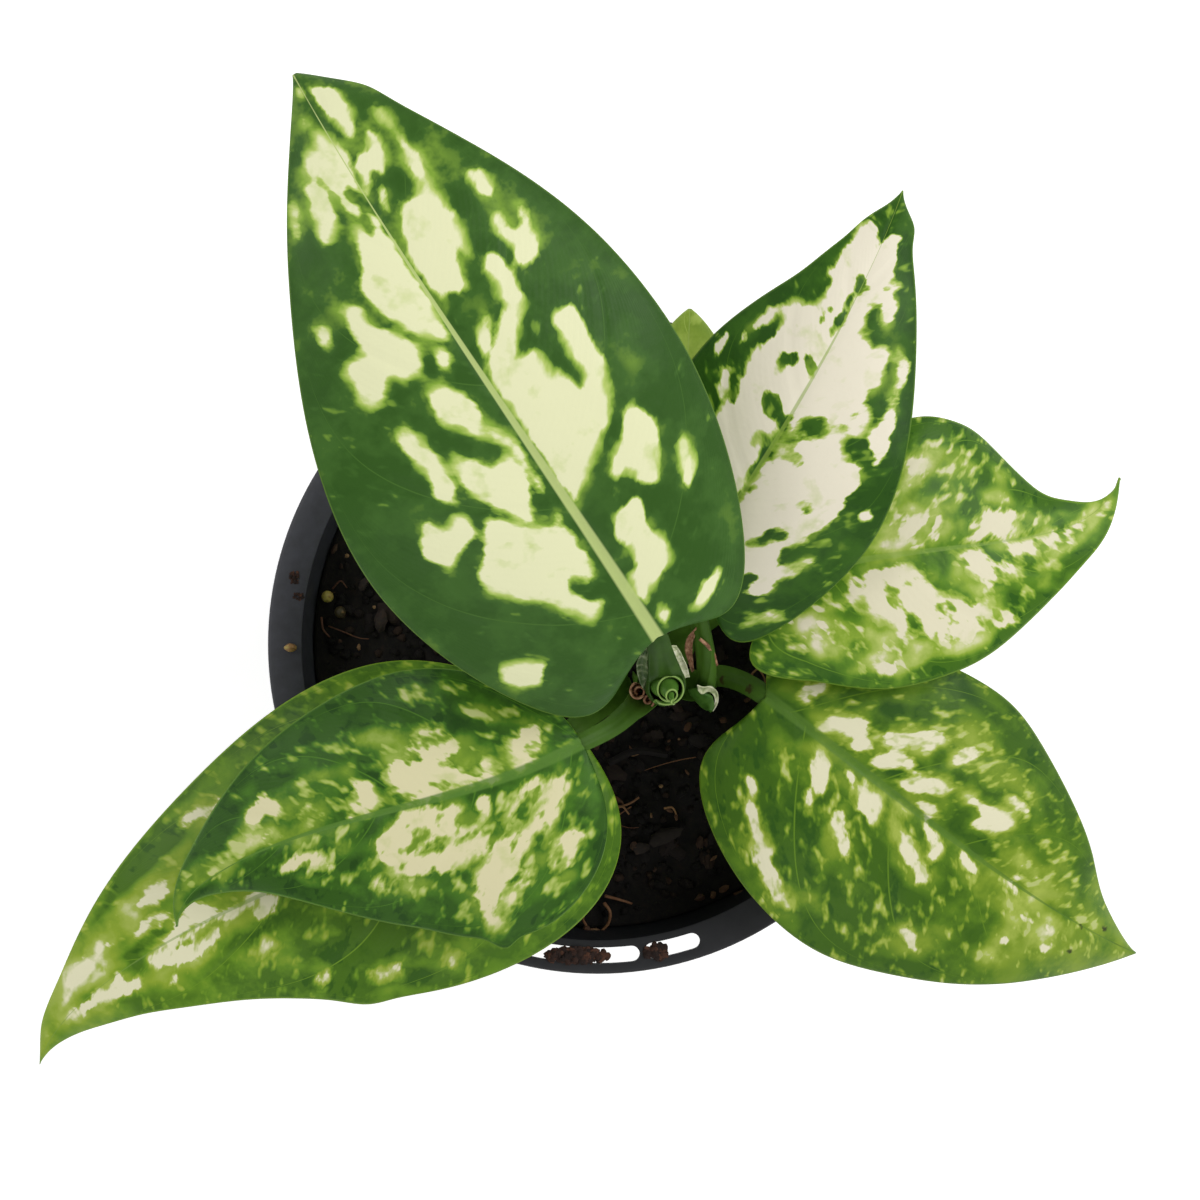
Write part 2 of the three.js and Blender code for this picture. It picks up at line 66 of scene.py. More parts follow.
# Slots in the flat rim: inner and outer radius, length, the rib between two, how many in a group, and the
# bearings of the groups' middles.
RIM_SLOTS = {"inner": 68.9, "outer": 72.6, "length": 12.9, "rib": 1.1, "count": 3, "middles": (-87.5, 92.5)}
DRAIN_HOLES = {"radius": 3.5, "circle": 33.0, "count": 8, "first": 22.5}
WALL_INSIDE = [(48.4, 3.2), (59.0, 85.0), (64.9, 89.6), (67.1, 114.3)]    # radius and height, upwards
SOIL_LEVEL, SOIL_MOUND, SOIL_GAP = 103.0, 2.5, 0.45
SEEN_LEVEL = SOIL_LEVEL + SOIL_MOUND    # the height at which pixels of what lies on the mix are read
CANE_AT, CANE_RADIUS, CANE_TOP = (13.5, -7.4), 4.6, 124.2
SPEAR_FOOT, SPEAR_TIP = (13.5, -7.4, 124.6), (15.3, -9.6, 167.0)    # the rolled new leaf
# How far a vein sweeps forward, as a share of the length, and the fold and arch of a blade's section.
BLADE_SWEEP, BLADE_FOLD, BLADE_ARCH = 0.5, 0.12, 0.28
# Sections below the blade: radius, half angle, wall. The raised midrib's start with the place along it.
PETIOLE = (1.35, 95, 2.6)
KEEL = [(0, *PETIOLE), (0.1, 1.05, 90, 2.0), (0.3, 0.65, 85, 1.3), (0.6, 0.35, 80, 0.7)]

# base, length, half widths; bearing and rise of the midrib at its base, middle and tip in degrees;
# curl: where the tip turns aside and by how much; rounding of the base and taper to the tip, left and right;
# lobe: how far the base reaches back; wave: margin waves left, right, their number and start.
# sheath: bearing, radius, half angle, bottom, top; stations: x, y, z, bearing, radius, half angle, wall.
# bumps: where a margin stands out or draws in: side, place along it, spread and mm.
LEAVES = {
    "leaf_1": dict(
        base=(12.2, 2.4, 172), length=142, half=(41.5, 36.5), bearing=(123, 124, 119), rise=(36, 12, -28),
        curl=(0.85, 0), rounding=(0.52, 0.48), taper=(1.18, 0.8), lobe=(0.11, 0.08),
        wave=(1.2, 1.0, 2.6, 0.1), sheath=(98, 4.4, 145, 112.5, 148),
        stations=[(14.5, -7.6, 155, 98, 4.3, 112, 1.1), (13.9, -4.4, 161.5, 100, 2.9, 88, 1.7),
                  (13.0, -0.6, 167.5, 110, 1.7, 92, 2.5)],
        bumps=[(-1, 0.65, 0.25, 0.9), (1, 0.94, 0.05, 1.6), (1, 0.8, 0.08, -0.5), (1, 0.6, 0.15, 0.8)]),
    "leaf_2": dict(
        base=(19.6, 14.7, 154), length=97, half=(23.5, 28.5), bearing=(59, 60, 69), rise=(28, 5, -28),
        curl=(0.85, 0), rounding=(0.63, 0.48), taper=(1.23, 1.2), lobe=(0.06, 0.13),
        wave=(0.8, 1.2, 2.2, 0.4), sheath=(-13, 5.9, 50, 100, 121),
        stations=[(22.3, -9.2, 130.0, -5, 3.2, 90, 1.2), (23.3, -5.2, 137.5, 20, 2.8, 100, 1.5),
                  (22.6, 1.2, 144, 48, 1.9, 98, 2.2), (21.0, 8.0, 149.2, 58, 1.4, 95, 2.6)],
        bumps=[(-1, 0.5, 0.14, 0.9), (-1, 0.72, 0.06, -0.5), (-1, 0.9, 0.05, 0.8), (1, 0.93, 0.045, 1.7)]),
    "leaf_3": dict(
        base=(38.1, 13.6, 147), length=88, half=(29, 28.5), bearing=(21, 7, 31), rise=(10, -16, -26),
        curl=(0.7, 35), rounding=(1.79, 0.55), taper=(2.51, 1.36), lobe=(0.06, 0.17),
        wave=(1.8, 1.0, 2.4, 0.2), sheath=(48, 7.3, 33, 98, 108),
        stations=[(20.2, 1.8, 117.5, 44, 2.4, 90, 1.7), (26.4, 7.2, 128.5, 40, 1.5, 95, 2.6),
                  (32.6, 11.2, 139.0, 30, 1.35, 95, 2.6)],
        bumps=[(-1, 0.6, 0.08, 1.9), (-1, 0.74, 0.06, -1.8), (1, 0.55, 0.14, 1.4), (1, 0.78, 0.06, -0.8)]),
    "leaf_4": dict(
        base=(36.9, -11, 136), length=120, half=(32.5, 38), bearing=(-37, -36, -25), rise=(4, -22, -42),
        curl=(0.85, 0), rounding=(0.78, 0.46), taper=(1.41, 1.02), lobe=(0.07, 0.06),
        wave=(1.6, 1.2, 2.3, 0.6), sheath=(-29, 7.3, 27, 98, 107),
        stations=[(23.4, -9.0, 113.6, -20, 2.0, 80, 1.8), (26.4, -7.0, 122.0, -14, 1.5, 95, 2.6),
                  (31.2, -7.8, 129.8, -24, 1.4, 95, 2.6)],
        bumps=[(1, 0.42, 0.13, 0.9), (1, 0.75, 0.1, -0.7), (-1, 0.3, 0.1, -0.7), (-1, 0.82, 0.07, -0.8)]),
    "leaf_5": dict(
        base=(-3.5, -20.4, 154), length=105, half=(32.5, 28), bearing=(209, 196, 230), rise=(12, -12, -28),
        curl=(0.85, 33), rounding=(0.51, 0.7), taper=(1.7, 1.3), lobe=(0.01, 0.02),
        wave=(1.2, 1.4, 2.5, 0.7), sheath=(216, 5.9, 72, 100, 132),
        stations=[(7.6, -13.6, 143.2, 212, 2.4, 86, 2.0), (2.6, -17.4, 149.4, 208, 1.6, 94, 2.6)],
        bumps=[(-1, 0.2, 0.08, 1.0), (-1, 0.27, 0.024, 2.4), (-1, 0.42, 0.06, -0.6)]),
    "leaf_6": dict(
        base=(-5.5, -18.3, 131), length=156, half=(38, 37.5), bearing=(219, 205, 236), rise=(6, -10, -34),
        curl=(0.85, 13), rounding=(0.38, 0.6), taper=(1.42, 1.39), lobe=(0, 0),
        wave=(1.4, 1.2, 2.8, 0.3), sheath=(205, 7.4, 50, 98, 106),
        stations=[(2.2, -13.2, 116.5, 208, 2.0, 86, 2.2), (-1.4, -15.6, 124.6, 212, 1.4, 95, 2.6)],
        bumps=[(-1, 0.44, 0.04, 1.4), (-1, 0.6, 0.1, -1.1), (-1, 0.85, 0.08, 1.2), (1, 0.6, 0.2, -0.7),
               (1, 0.93, 0.05, 0.8)]),
    "leaf_7": dict(
        base=(12, 12, 128), length=66, half=(16, 17), bearing=(78, 82, 88), rise=(16, -4, -30),
        curl=(0.85, 0), rounding=(0.5, 0.5), taper=(0.8, 0.8), lobe=(0.05, 0.05),
        wave=(0.6, 0.6, 1.8, 0.2), sheath=(118, 7.3, 18, 98, 106.5),
        stations=[(10.2, 3.6, 115.0, 102, 1.8, 82, 2.0), (11.8, 8.2, 122.8, 84, 1.4, 95, 2.4)],
        bumps=[]),
}

# Outlines of the cream patches, the green islands left in them, the lime areas, the deep green ones and dead
# specks: corner pairs "t,v" in hundredths of the blade's length and half width, a semicolon between outlines.
PATCHES = {
    "leaf_1": dict(
        cream="""
        6.8,-80 7.5,-93 9,-92 10,-82 9.5,-70 8.3,-63 7.5,-70;
        8.7,-27 12,-33 14.5,-36 16.5,-46 19,-56 22,-55 25,-47 30,-38 28.5,-30 26.5,-20 25,-11 27,-7 20,-6
          15,-8 14.5,-14 17,-20 15,-24 12,-20 11,-13 9.5,-18;
        23.5,-64 26,-72 29,-70 31.5,-62 30,-56 31.5,-50 31,-43 28,-45 26.5,-53 25,-60;
        26,-18 30,-30 34,-38 38,-41 40,-35 38.5,-27 36.5,-22 37.5,-12 33,-9 30,-15;
        30,-5 30,-8 37,-10 40,-14 41,-20 43,-27 44,-34 47,-36 50,-32 50,-22 47.5,-15 45,-12 42,-12 40,-5;
        33,-45 34.5,-54 37.5,-53 39,-56 44,-60 45.2,-52 43,-46 39,-43 36,-42;
        47.5,-66 48.5,-72 51,-71 53.5,-75 54.7,-70 55,-63 58,-62 60,-65 62,-69 63,-62 62.5,-52 60,-48
          58.5,-38 57,-28 55,-25 52,-32 51,-42 52,-50 50,-56 48.5,-58;
        51.5,-14 52,-20 54,-21 55,-12 54,-8 52.5,-9;
        55,-4 56.5,-20 60,-35 64.5,-48 68,-40 71,-36 73.5,-33 74,-24 72,-20 73,-14 76,-10 74.5,-4 70,-1
          60,-2;
        74.5,-20 75.5,-30 79,-38 80,-45 82,-50 81.5,-62 82,-72 85,-73 86.5,-65 87,-50 89,-40 89.7,-15 88,3
          86,6 85,14 83.5,10 82,2 78,2 79,-8 80,-15 79.5,-25 77.5,-22 76.5,-13;
        71.5,-66 72,-69 76,-73 81,-77 81.5,-70 81.2,-55 80,-46 77,-46 74,-44 73,-52 72,-60;
        56.5,-80 57.5,-87 59.5,-87 60,-80 59,-76 57,-76;
        72,-93 75,-97 77.5,-98 78,-92 76,-88 73,-90;
        6,8 8,3 10,2 12,8 13,13 16,14 19,11 21,17 20.5,35 19.5,37 17,31 14,36 12,39 10,37 9,28 8,18;
        25,2 45,2 49,4 50.5,10 50.5,18 52,25 53,35 56,38 59,40 59.5,47 58,53 54,52 51,45 49.5,35 48,25 47,23
          46.5,30 45,34 42,34 40,38 37,40 38,46 42,47 46,50 46.5,55 45,64 43,65 40,62 36,60 33,52 31,42
          30,33 28,20 27,10;
        19.5,48 21,40 24,36 24.5,30 26,27 27.5,32 27.5,42 30,50 29.5,58 27,63 24,64 21,58;
        2.8,48 4,50 5.5,60 6.2,75 5.5,79 4,68 3,60;
        15,65 16,61 19,65 20.5,68 20,76 18,79 16,74;
        50.5,8 52,6 53.5,12 54.5,22 53.5,26 52,20 51,15;
        59,4 66,2 70,6 72,15 73.5,25 73,38 73.5,48 76,50 78,60 81,67 81.5,73 79,72 75,66 72,60 71,52 70,56
          68,53 65,50 62,42 61,38 63,35 62,31 59,25 59,18 60.5,12;
        53.5,58 54.5,55 57,62 60,60 62,68 61,74 58,70 57,74 59,82 58,86 55,80 53,76 52.5,68;
        62.5,75 64,72 67,75 68,80 67,87 64,87 62.5,82;
        77,2 80,5 82,8 83,20 82.5,32 84,40 85.5,45 85,52 83,52 80,45 79,40 78.5,28 80,20 78.5,12;
        82,68 84,65 86,72 86.5,80 84,85 82.5,78;
        86,20 90,17 93,12 95.5,16 96,30 95.5,45 94,68 92,60 88,50 86,38 85.5,28;
        95,-35 96,-56 97,-38 96.5,4 95,2;
        90,-62 91,-71 92,-62 92,-42 90,-44;
        72,-88 73.5,-93 78,-94 78,-87 75,-86;
        82.5,70 84.5,66 87,75 85.5,82 82.5,79;
        74,13 74.5,8 76,11 77,21 75.5,23;
        1.8,21 3.5,11 5,18 3.5,28""",
        green="",
        lime="""
        2,15 3.5,10 5.5,8 6.5,15 5,20 4,30 3,28 2,20;
        13,3 17,3 18,6 16,12 14,8;
        47.5,-43 49,-50 51,-49 50,-42;
        64,-50 66,-58 69.5,-66 70,-62 68,-54 65,-49;
        66,-42 72,-55 74,-44 70,-38;
        31,74 33,69 34.5,67 34,72 32,75;
        41.5,-84 42.5,-82 42,-78;
        74,4 76,10 76.5,20 76,25 75,20 73.5,10;
        90,-75 90.5,-80 91.5,-75 92,-50 91,-30 90,-40;
        41,62 44,66 46,72 46,75 43,71;
        31,75 31.5,69 33.5,68 35,71 33,75;
        12,-75 12.5,-69 14,-68 14,-73;
        41.5,-83 41.5,-80 43,-79 43,-83"""),
    "leaf_2": dict(
        cream="""
        4,-10 15,-45 28,-55 33,-60 36,-56 40,-60 42,-62 45,-67 48,-66 52,-64 54.5,-66 54.5,-73 52,-75 50,-79
          48,-83 45,-78 44,-79 46,-86 50,-89 54,-87 56,-81 58,-78 60,-78 61.5,-72 60,-66 62.5,-60 64,-50
          66,-52 69,-56 70,-63 68,-69 70,-72 75,-77 78,-82 82,-87 84,-88 86,-84 87.5,-70 88,-50 87.5,-35
          86,-20 84.5,-8 85,2 86.5,10 87.5,25 87.5,60 84,62 80,61 78,56 76,60 76,70 74.5,75 72,69 70,71
          66,72 64.5,68 65,58 66,48 68,42 71,38 71.5,30 69,28 65,28 63,33 62.5,42 61,48 61,60 60,69 57,71
          54,68 51,61 48,58 47.5,66 45,68 42,67 41,61 41.5,53 40,50 38,55 36.5,62 36,70 33,73 30,70 26,70
          23,66 20,60 18,55 16.5,50 14,50 12,55 14,62 16.5,66 16.5,73 15,76 13,70 11.5,65 10.5,60 9.5,68
          7,66 6.5,55 6,50 8.5,50 9,43 6,40 3,25;
        37,-86 39,-93 43,-96 43,-90 40,-86;
        33.5,-68 35,-75 39,-79 39.5,-70 37,-61 33.5,-62;
        3.5,80 5,74 7,78 8,90 7.5,96 6,90;
        36,78 38,72 42,70 45,74 48,80 47,88 43,88 38,84;
        48,82 50,78 54,79 58,76 61,78 60.5,86 58,92 55,93 53,88 49,85;
        24,86 26,83 28,87 26,90""",
        green="""
        20,-2 30,-3 42,-4 44,0 42,3 37,4 35,5 25,2;
        38.5,-2 40,-12 40,-22 41,-31 43,-30 44,-25 43,-15 42,-8 41,-2;
        48,-35 48.5,-41 50,-43 51.5,-37 54.5,-31 54,-28 51,-28 49,-33;
        34.5,-5 34.5,-14 35.5,-15 35.5,-6;
        52.5,-4 53,-12 54,-20 55,-15 55,-4;
        34,20 35,13 36.5,16 36,25 35,27;
        37,6 38,10 40,20 41,28 43,32 44.5,28 44,18 42,11 40,10 38.5,5;
        14,25 15,22 16,28 18,30 20,40 19.5,43 18,42 17.5,35 15.5,34;
        43,44 44,45 46,52 45,53 43.5,48;
        62,-6 64,-11 65,-11 66,-6 72,-7 75,-14 76,-14 76.2,-2 75.5,12 74.5,17 73,4 72.5,-3 66,-3 63,-4;
        35,-52 37,-58 40,-62 41,-58 38,-51;
        46,-78 48,-82 50,-79 51,-74 54,-73 54,-66 50,-67 47,-71;
        63,-29 65,-34 65.6,-28 64,-26;
        7,41 9,40 9,48 8,49;
        24.6,43 25.6,45 26,49 25,50;
        60,-75 62,-70 65,-66 68,-64 67,-57 64.5,-50 63,-58 61,-66;
        61,70 62.5,64 62,52 63,42 66,34 70,30 71.5,34 70,39 67,42 65.5,50 64.5,60 65,70;
        39,53 41,52 41.5,60 40,64 38,62 37,70 35.5,69;
        48,60 51,62 54,69 52,73 48,71;
        73.5,53 75,50 77,54 75.5,60""",
        lime="""
        48,13 48.5,20 50,30 53,38 55,46 54,45 51,36 49,28;
        24.5,42 26,44 26,50 25,50;
        17,80 20,78 20,85 18,86;
        33,88 36,86 36,90;
        31,70 34,68 36,72 32,74;
        62,-26 65,-30 65,-46 66,-36 64,-25;
        76,60 80,57 80,68 76,78"""),
    "leaf_3": dict(
        cream="""
        15,30 17,17 20,10 25,8 30,8 33,10 35,20 38,35 40,38 42,45 46,50 50,58 50,65 51,75 53,85 53,92 51,90
          48,85 45,85 42,83 38,80 35,70 32,62 28,60 25,62 23,55 21,48 20,40 18,35;
        45,5 50,3 52,8 53,20 54,33 53,42 51,44 49,35 47,28 45,20 44,10;
        55,30 57,28 59,35 60,45 58.5,48 56,42;
        58,2 65,2 70,0 75,0 80,2 83,5 83,20 80,35 77,40 73,38 70,40 66,35 63,25 60,20;
        65,52 68,50 69.5,55 69,65 68,68 66,60;
        30,-10 31,-25 33,-32 36,-30 40,-30 42,-20 41,-8 36,-4 32,-5;
        49,-5 50,-18 52,-28 54,-35 57,-43 59,-48 61,-40 60,-28 62,-20 66,-15 67,-8 64,-3 60,-8 57,-2 55,-10
          53,-4;
        71.5,-2 71.5,-12 73,-17 74,-10 75.5,-2;
        31,-70 33,-75 36,-72 38,-62 36,-55 33,-50 31,-55;
        64,-52 66,-60 68,-58 68,-47 66,-44;
        83,10 86,5 90,25 92,50 91,68 90,60 88,35 86,22;
        7,50 10,43 12,45 11,55 8,60;
        14,84 18,78 22,79 23,86 18,88""",
        green="""
        16,38 18,36 19.5,31 18,44 16,45;
        29,52 31,55 30,60 29,58;
        56,10 60,22 61,30 58,24 55,14""",
        lime="""
        5,40 10,30 16,24 22,30 24,50 28,62 34,72 40,84 34,86 24,92 12,90 6,70;
        20,-5 30,-40 31,-66 36,-80 44,-82 50,-72 48,-50 47,-30 42,-5;
        50,-52 56,-62 60,-58 58,-50 52,-44;
        56,50 62,58 66,70 65,85 60,84 57,70;
        53,2 60,2 60,18 54,12;
        62,-52 70,-66 76,-64 78,-50 70,-40 62,-36;
        78,-10 82,-50 85,-88 87,-80 86,-40 85,-10 84,10 80,2;
        52,-84 58,-90 60,-80 54,-70;
        5,55 12,58 22,60 30,66 44,84 50,92 40,94 20,90 8,86;
        44,40 56,52 60,64 58,84 52,60 46,52;
        66,40 76,42 84,30 88,50 82,66 74,62 68,58""",
        deep="""
        34,-50 37,-56 40,-55 41,-48 39,-43 35,-42;
        31,-40 35,-42 36,-36 32,-35;
        50,-72 53.5,-74 53,-56 51,-44 50,-52;
        42,-15 42,-26 46,-31 50,-45 51.5,-38 48,-27 44,-17;
        59,-76 62,-72 61.5,-58 60,-50 59,-60;
        60,-29 63.4,-27 63,-17 60.6,-18;
        65,-20 69,-18 71,-9 68,-7 66,-12;
        74,-22 77,-16 77,-5 75,-8;
        40,2 43,2 43,18 41,22 40,10;
        40,36 44,42 50,52 56,60 56,66 50,60 44,52 41,44;
        51,60 56,64 58,80 54,86 52,74;
        53,9 57,13 60,22 58,28 55,20;
        61,28 66,40 66.5,50 63,52 61,42;
        61,66 66,62 70,72 75,76 72,90 65,93 63,80;
        9,39 14,34 19,30 19.5,42 16,46 11,45;
        20,48 24,49 24,56 21,57;
        29,52 32,55 31,62 28.5,58;
        13,64 18,62 19,70 15,74;
        8,80 14,76 16,84 10,86;
        8,92 20,95 34,88 42,90 50,95 50,99 30,99.5 10,99;
        30,-99 30,-80 36,-84 44,-88 52,-93 56,-99;
        60,-97 62,-78 70,-76 80,-84 80,-97"""),
    "leaf_4": dict(
        cream="""
        6,-35 5,-43 7,-46 8,-38 7.5,-30;
        5.5,-28 6.5,-30 7,-22 6,-20;
        10,-10 11,-20 14,-25 15,-32 16.5,-33 18,-24 20,-18 20,-10 18,-8 17,-15 15,-10 12,-5;
        20.5,-28 21,-35 23,-42 25,-50 29,-54 28.5,-45 28,-36 25,-32 24,-24 22,-25;
        22.5,-10 23,-18 26,-25 28,-28 28.5,-22 26,-15 25,-8;
        29,-10 30,-20 33,-28 36,-31 36.5,-24 35.5,-16 33,-12 31,-8;
        34,-5 37,-12 39,-8 38,-3;
        31.5,-48 32.5,-58 35,-63 34.5,-50 33.5,-43;
        43,-35 45,-42 47,-46 50,-50 51,-45 50.5,-30 48,-22 45,-20 45,-28;
        38.5,-32 41,-38 44,-36 42,-30;
        45.5,-52 47,-57 50,-60 50,-54 47,-50;
        12,6 16,5 17,10 18.5,16 18,24 16,25 14,15;
        24,6 28,4 29.5,10 29,20 26,20 24,12;
        20,5 21,10 22.5,14 21.5,6;
        31,4 35,3 34,6 32,7;
        32,13 35,14 37,15 40,20 43,28 44,32 42,36 40,30 37,24 34,20;
        38.5,5 42,4 43.5,10 43,20 41.5,18 40,10;
        21.5,30 23,28 25,34 28,44 28,48 26,46 23,38;
        47.5,3 50,4 53,10 54,12 51,13 49,11;
        58,3 60,3 64,8 65,12 62,10 60,7;
        7,55 8,52 9,60 11,65 14,70 16,78 20,82 23,86 22,90 19,91 16,86 13,80 10,70 8,62;
        42,70 44,66 46,72 47,80 45,79;
        62,52 64,50 65,55 63,57;
        64,25 69,24 70,28 66,30;
        72.5,22 74,22 74,35 72.5,30;
        72,48 75,50 74,58 72,55;
        16,30 17.5,30 17.5,36 16.5,37;
        60,70 61,70 62,76 60.5,75;
        46.5,40 47.5,38 48.3,42;
        58,-22 59.3,-25 59,-19;
        60,-6 61.5,-9 61,-3;
        63,-26 64,-25 63.5,-22""",
        green="",
        lime="""
        8,-12 14,-35 24,-66 32,-74 50,-78 52,-70 44,-62 40,-45 30,-34 24,-20 16,-8;
        52,-66 60,-68 72,-66 73,-55 66,-52 60,-44 56,-50;
        54,-36 66,-46 76,-50 84,-40 88,-20 84,10 86,36 76,62 66,46 60,30 56,16 52,0;
        21,64 24,64 28,76 27,82 23,78;
        28,52 31,56 31,62 28,58;
        34,56 38,54 40,64 36,66;
        48,54 52,56 54,66 50,64;
        56,66 60,64 62,72 60,80 57,74;
        40,76 46,82 50,86 46,88 42,82;
        6,22 9,16 12,26 13,36 9,36;
        44,8 52,16 58,22 52,24 46,18;
        30,88 35,90 34,96 30,94;
        44,-16 42,-20 40,-14 42,-11""",
        speck="""
        80.8,3 81.5,1 82.2,4 81.9,8 81,8;
        79,51 80,47 80.4,56 79.8,58;
        85.5,-38 86.6,-58 87.2,-70 87.4,-50 86.8,-32""",
        deep="""
        0,-25 6,-16 12,-7 12,5 8,12 0,14;
        15,-38 17,-52 22,-60 25,-56 21,-45 19,-34 17,-29;
        28,-46 30,-54 32,-44 36,-42 44,-52 46,-50 42,-42 36,-34 33,-30 30,-32;
        31,-24 29,-30 28,-20 26,-8 28,-6;
        40,-18 44,-22 48,-16 54,-12 50,-4 40,-6;
        2,30 8,40 12,50 20,62 26,70 20,76 12,66 6,52 4,70 10,94 2,96;
        12,30 20,40 24,52 20,58 14,48;
        30,24 36,36 44,50 40,52 32,40;
        24,84 36,92 50,94 50,98 26,98;
        20,-84 40,-92 56,-94 56,-98 20,-98;
        70,-4 78,-6 78,6 70,8;
        26,52 30,66 34,74 30,78 26,66"""),
    "leaf_5": dict(
        cream="""
        5.5,-15 7,-28 9,-38 12,-45 14,-42 16,-50 19,-57 20,-65 15,-63 16,-70 19,-76 21,-74 20,-85 21,-92
          22.5,-85 24,-75 25,-70 24.5,-60 23,-50 21,-40 17,-35 15,-35 13,-25 10,-15;
        10,-10 12,-17 15,-20 17,-30 18.5,-32 18,-22 15,-12 12,-8;
        21,-10 22,-20 24,-26 22,-35 24,-45 27,-53 30,-55 32,-52 35,-55 39,-59 41,-50 43,-38 43.5,-25 41,-15
          38,-6 34,-4 31,-8 31,-20 28.5,-10 27,-9 28,-20 26,-27 24,-18 23,-8;
        8,15 10,5 13,3 16,10 15,18 13,25 10,35 8,40 7,30;
        17,5 20,3 22,5 20,15 18.5,18;
        23,10 24,4 30,2 37,3 39,10 39,25 37,35 35,40 33,35 31,38 33,45 30,50 26,53 23,45 22,38 25,30 27,26
          25,20;
        42,8 45,4 49,6 48,14 46.5,20 47,28 45,33 43,25;
        53,-50 56,-55 65,-54 64,-45 62.5,-35 60.5,-28 58,-35 55,-42;
        54,18 56,16 58,25 57,30;
        65,12 67,10 70,18 72,22 72.5,30 70,30 68,22;
        61,33 63,38 65,45 68,42 69,50 67,60 65,64 62,62 61,50;
        41,-70 43,-72 43.5,-66 42,-62;
        6,-62 8,-71 12,-68 12.5,-60 10,-52""",
        green="""
        30,-35 31,-40 33,-38 35.5,-42 35,-37 32,-33;
        15,-60 18,-62 18,-56 16,-56;
        31,34 32.5,33 33,40 31.5,39""",
        lime="""
        51.5,-5 52,-18 54,-23 55,-12 54,-4;
        57.5,-8 60,-18 62.5,-20 63,-10 60,-3;
        56,3 60,2 62.5,8 60,11;
        31,54 36,50 40,55 42,66 36,68 32,60;
        13,76 20,76 28,81 26,88 20,87 14,83;
        40,48 44,40 52,50 58,60 50,62 44,56;
        8,48 14,50 22,58 20,66 12,62;
        35,88 44,86 50,90 44,93 36,92;
        76,-10 78,-55 80,-76 81.5,-50 80.5,-10;
        80,15 85,20 90,40 90,62 86,60 83,40;
        64,8 74,12 78,30 72,46 66,30;
        46,-80 58,-82 58,-74 46,-74;
        24,-46 30,-62 33,-74 38,-78 38,-64 32,-56;
        8,-84 12,-82 14,-78 9,-78;
        44,-20 48,-46 56,-36 52,-24;
        78,-44 84,-20 90,10 92,50 88,76 82,70 80,40 74,10""",
        deep="""
        44,-3 48,-8 50,-30 52,-50 50,-60 46,-50 45,-30 42,-12;
        52,-57 66,-62 70,-52 62,-55 55,-54;
        66,-36 71,-30 71.5,-6 69,8 66,2 65.5,-20;
        72,56 78,54 80,70 80,90 70,92 66,76;
        38,30 42,32 44,44 42,48 38,44;
        50,-92 70,-92 78,-72 66,-68 52,-82;
        26,-60 32,-64 34,-58 30,-56;
        16,40 22,46 26,60 34,70 44,80 40,84 28,76 19,64 15,52;
        44,50 52,58 62,66 66,76 56,70 48,62;
        84,-70 90,-60 92,-10 88,-20 84,-50;
        8,-6 20,-7 34,-4 40,-2 20,-2 8,-2;
        4,2 20,1.6 40,2 42,0 4,0"""),
    "leaf_6": dict(
        cream="""
        48,-50 49,-60 51,-63 52,-55 50,-46;
        48.5,-8 49,-23 52,-25 52,-12 50,-6;
        50,5 50,0 53,-3 55,-12 57,-10 60,-2 56,2 53,5;
        57.5,-28 59,-34 61,-40 65,-42 66,-34 69,-36 70,-25 70.5,-10 69,0 66,3 65.5,-5 63,-4 60,-6 62,-11
          65,-10 66,-21 63,-23 60,-20 59,-13 57.5,-16;
        56,5 58,2 64,-1 67,1 65,8 63,18 61,24 59,22 57,14;
        63,25 65,26 66,32 69,33 68,40 66,40 64,33;
        57,62 59,55 62,50 66,58 65.5,63 60,64;
        72,52 74,50 76,55 75,60 72,60;
        76,76 78,72 80,78 78,82;
        71.5,-42 72,-50 76,-48 79,-49 82,-44 83,-35 85,-33 87,-38 88.5,-25 89,-5 87,5 85,0 82,-8 78,-12
          76,-5 75.5,-15 75,-30 73,-35;
        30,-83 32,-87 34,-82 33,-78;
        39.3,-80 40,-90 40.7,-84;
        22.5,-83 23.5,-88 24,-82;
        43.5,71 45,72 48.5,80 49,88 46,87 44,79;
        65,-60 67,-60 66,-55;
        8,-30 14,-40 20,-34 22,-18 14,-10;
        26,-24 34,-36 40,-28 36,-10 28,-8;
        12,14 20,10 26,24 20,34 12,28;
        30,12 38,8 42,22 36,34 30,26""",
        green="",
        lime="""
        25,-72 27,-73 27,-67 25,-66;
        34,-62 37,-63 38,-57 35,-55;
        39,-67 41,-66 40.5,-61;
        38,-55 40,-55 40,-50 38,-50;
        44.5,-70 46.5,-71 46.5,-64 45,-63;
        53,-59 55,-59 55,-54 53,-54;
        45,-58 47,-57 46.5,-50;
        30,-62 33,-60 32,-54;
        66,-50 69,-52 69,-45 67,-44;
        50,66 58,52 66,46 76,42 84,30 88,44 84,62 76,74 66,80 56,82;
        66,26 76,14 86,20 84,34 72,40;
        84,-44 90,-34 92,0 90,20 86,8 88,-20;
        52,-30 56,-44 64,-52 74,-58 84,-52 86,-42 76,-44 66,-40 58,-34;
        92,34 94.5,38 94,62 92,52;
        6,60 20,50 34,56 40,70 26,74 12,72""",
        deep="""
        45,-30 50,-40 57,-46 58,-34 53,-28 48,-20;
        66,6 70,4 74,12 74,24 68,28 65,20;
        71,-30 73,-12 76,-2 73,4 71,-6;
        76,2 80,0 86,14 88,30 85,22 80,8;
        22,-96 40,-94 46,-86 34,-80 24,-90;
        30,-70 38,-76 44,-66 36,-52 30,-58;
        50,78 60,84 70,90 60,94 48,90"""),
    "leaf_7": dict(cream="", green="", lime="30,-30 60,-40 80,-10 70,30 40,35 28,0"),
}

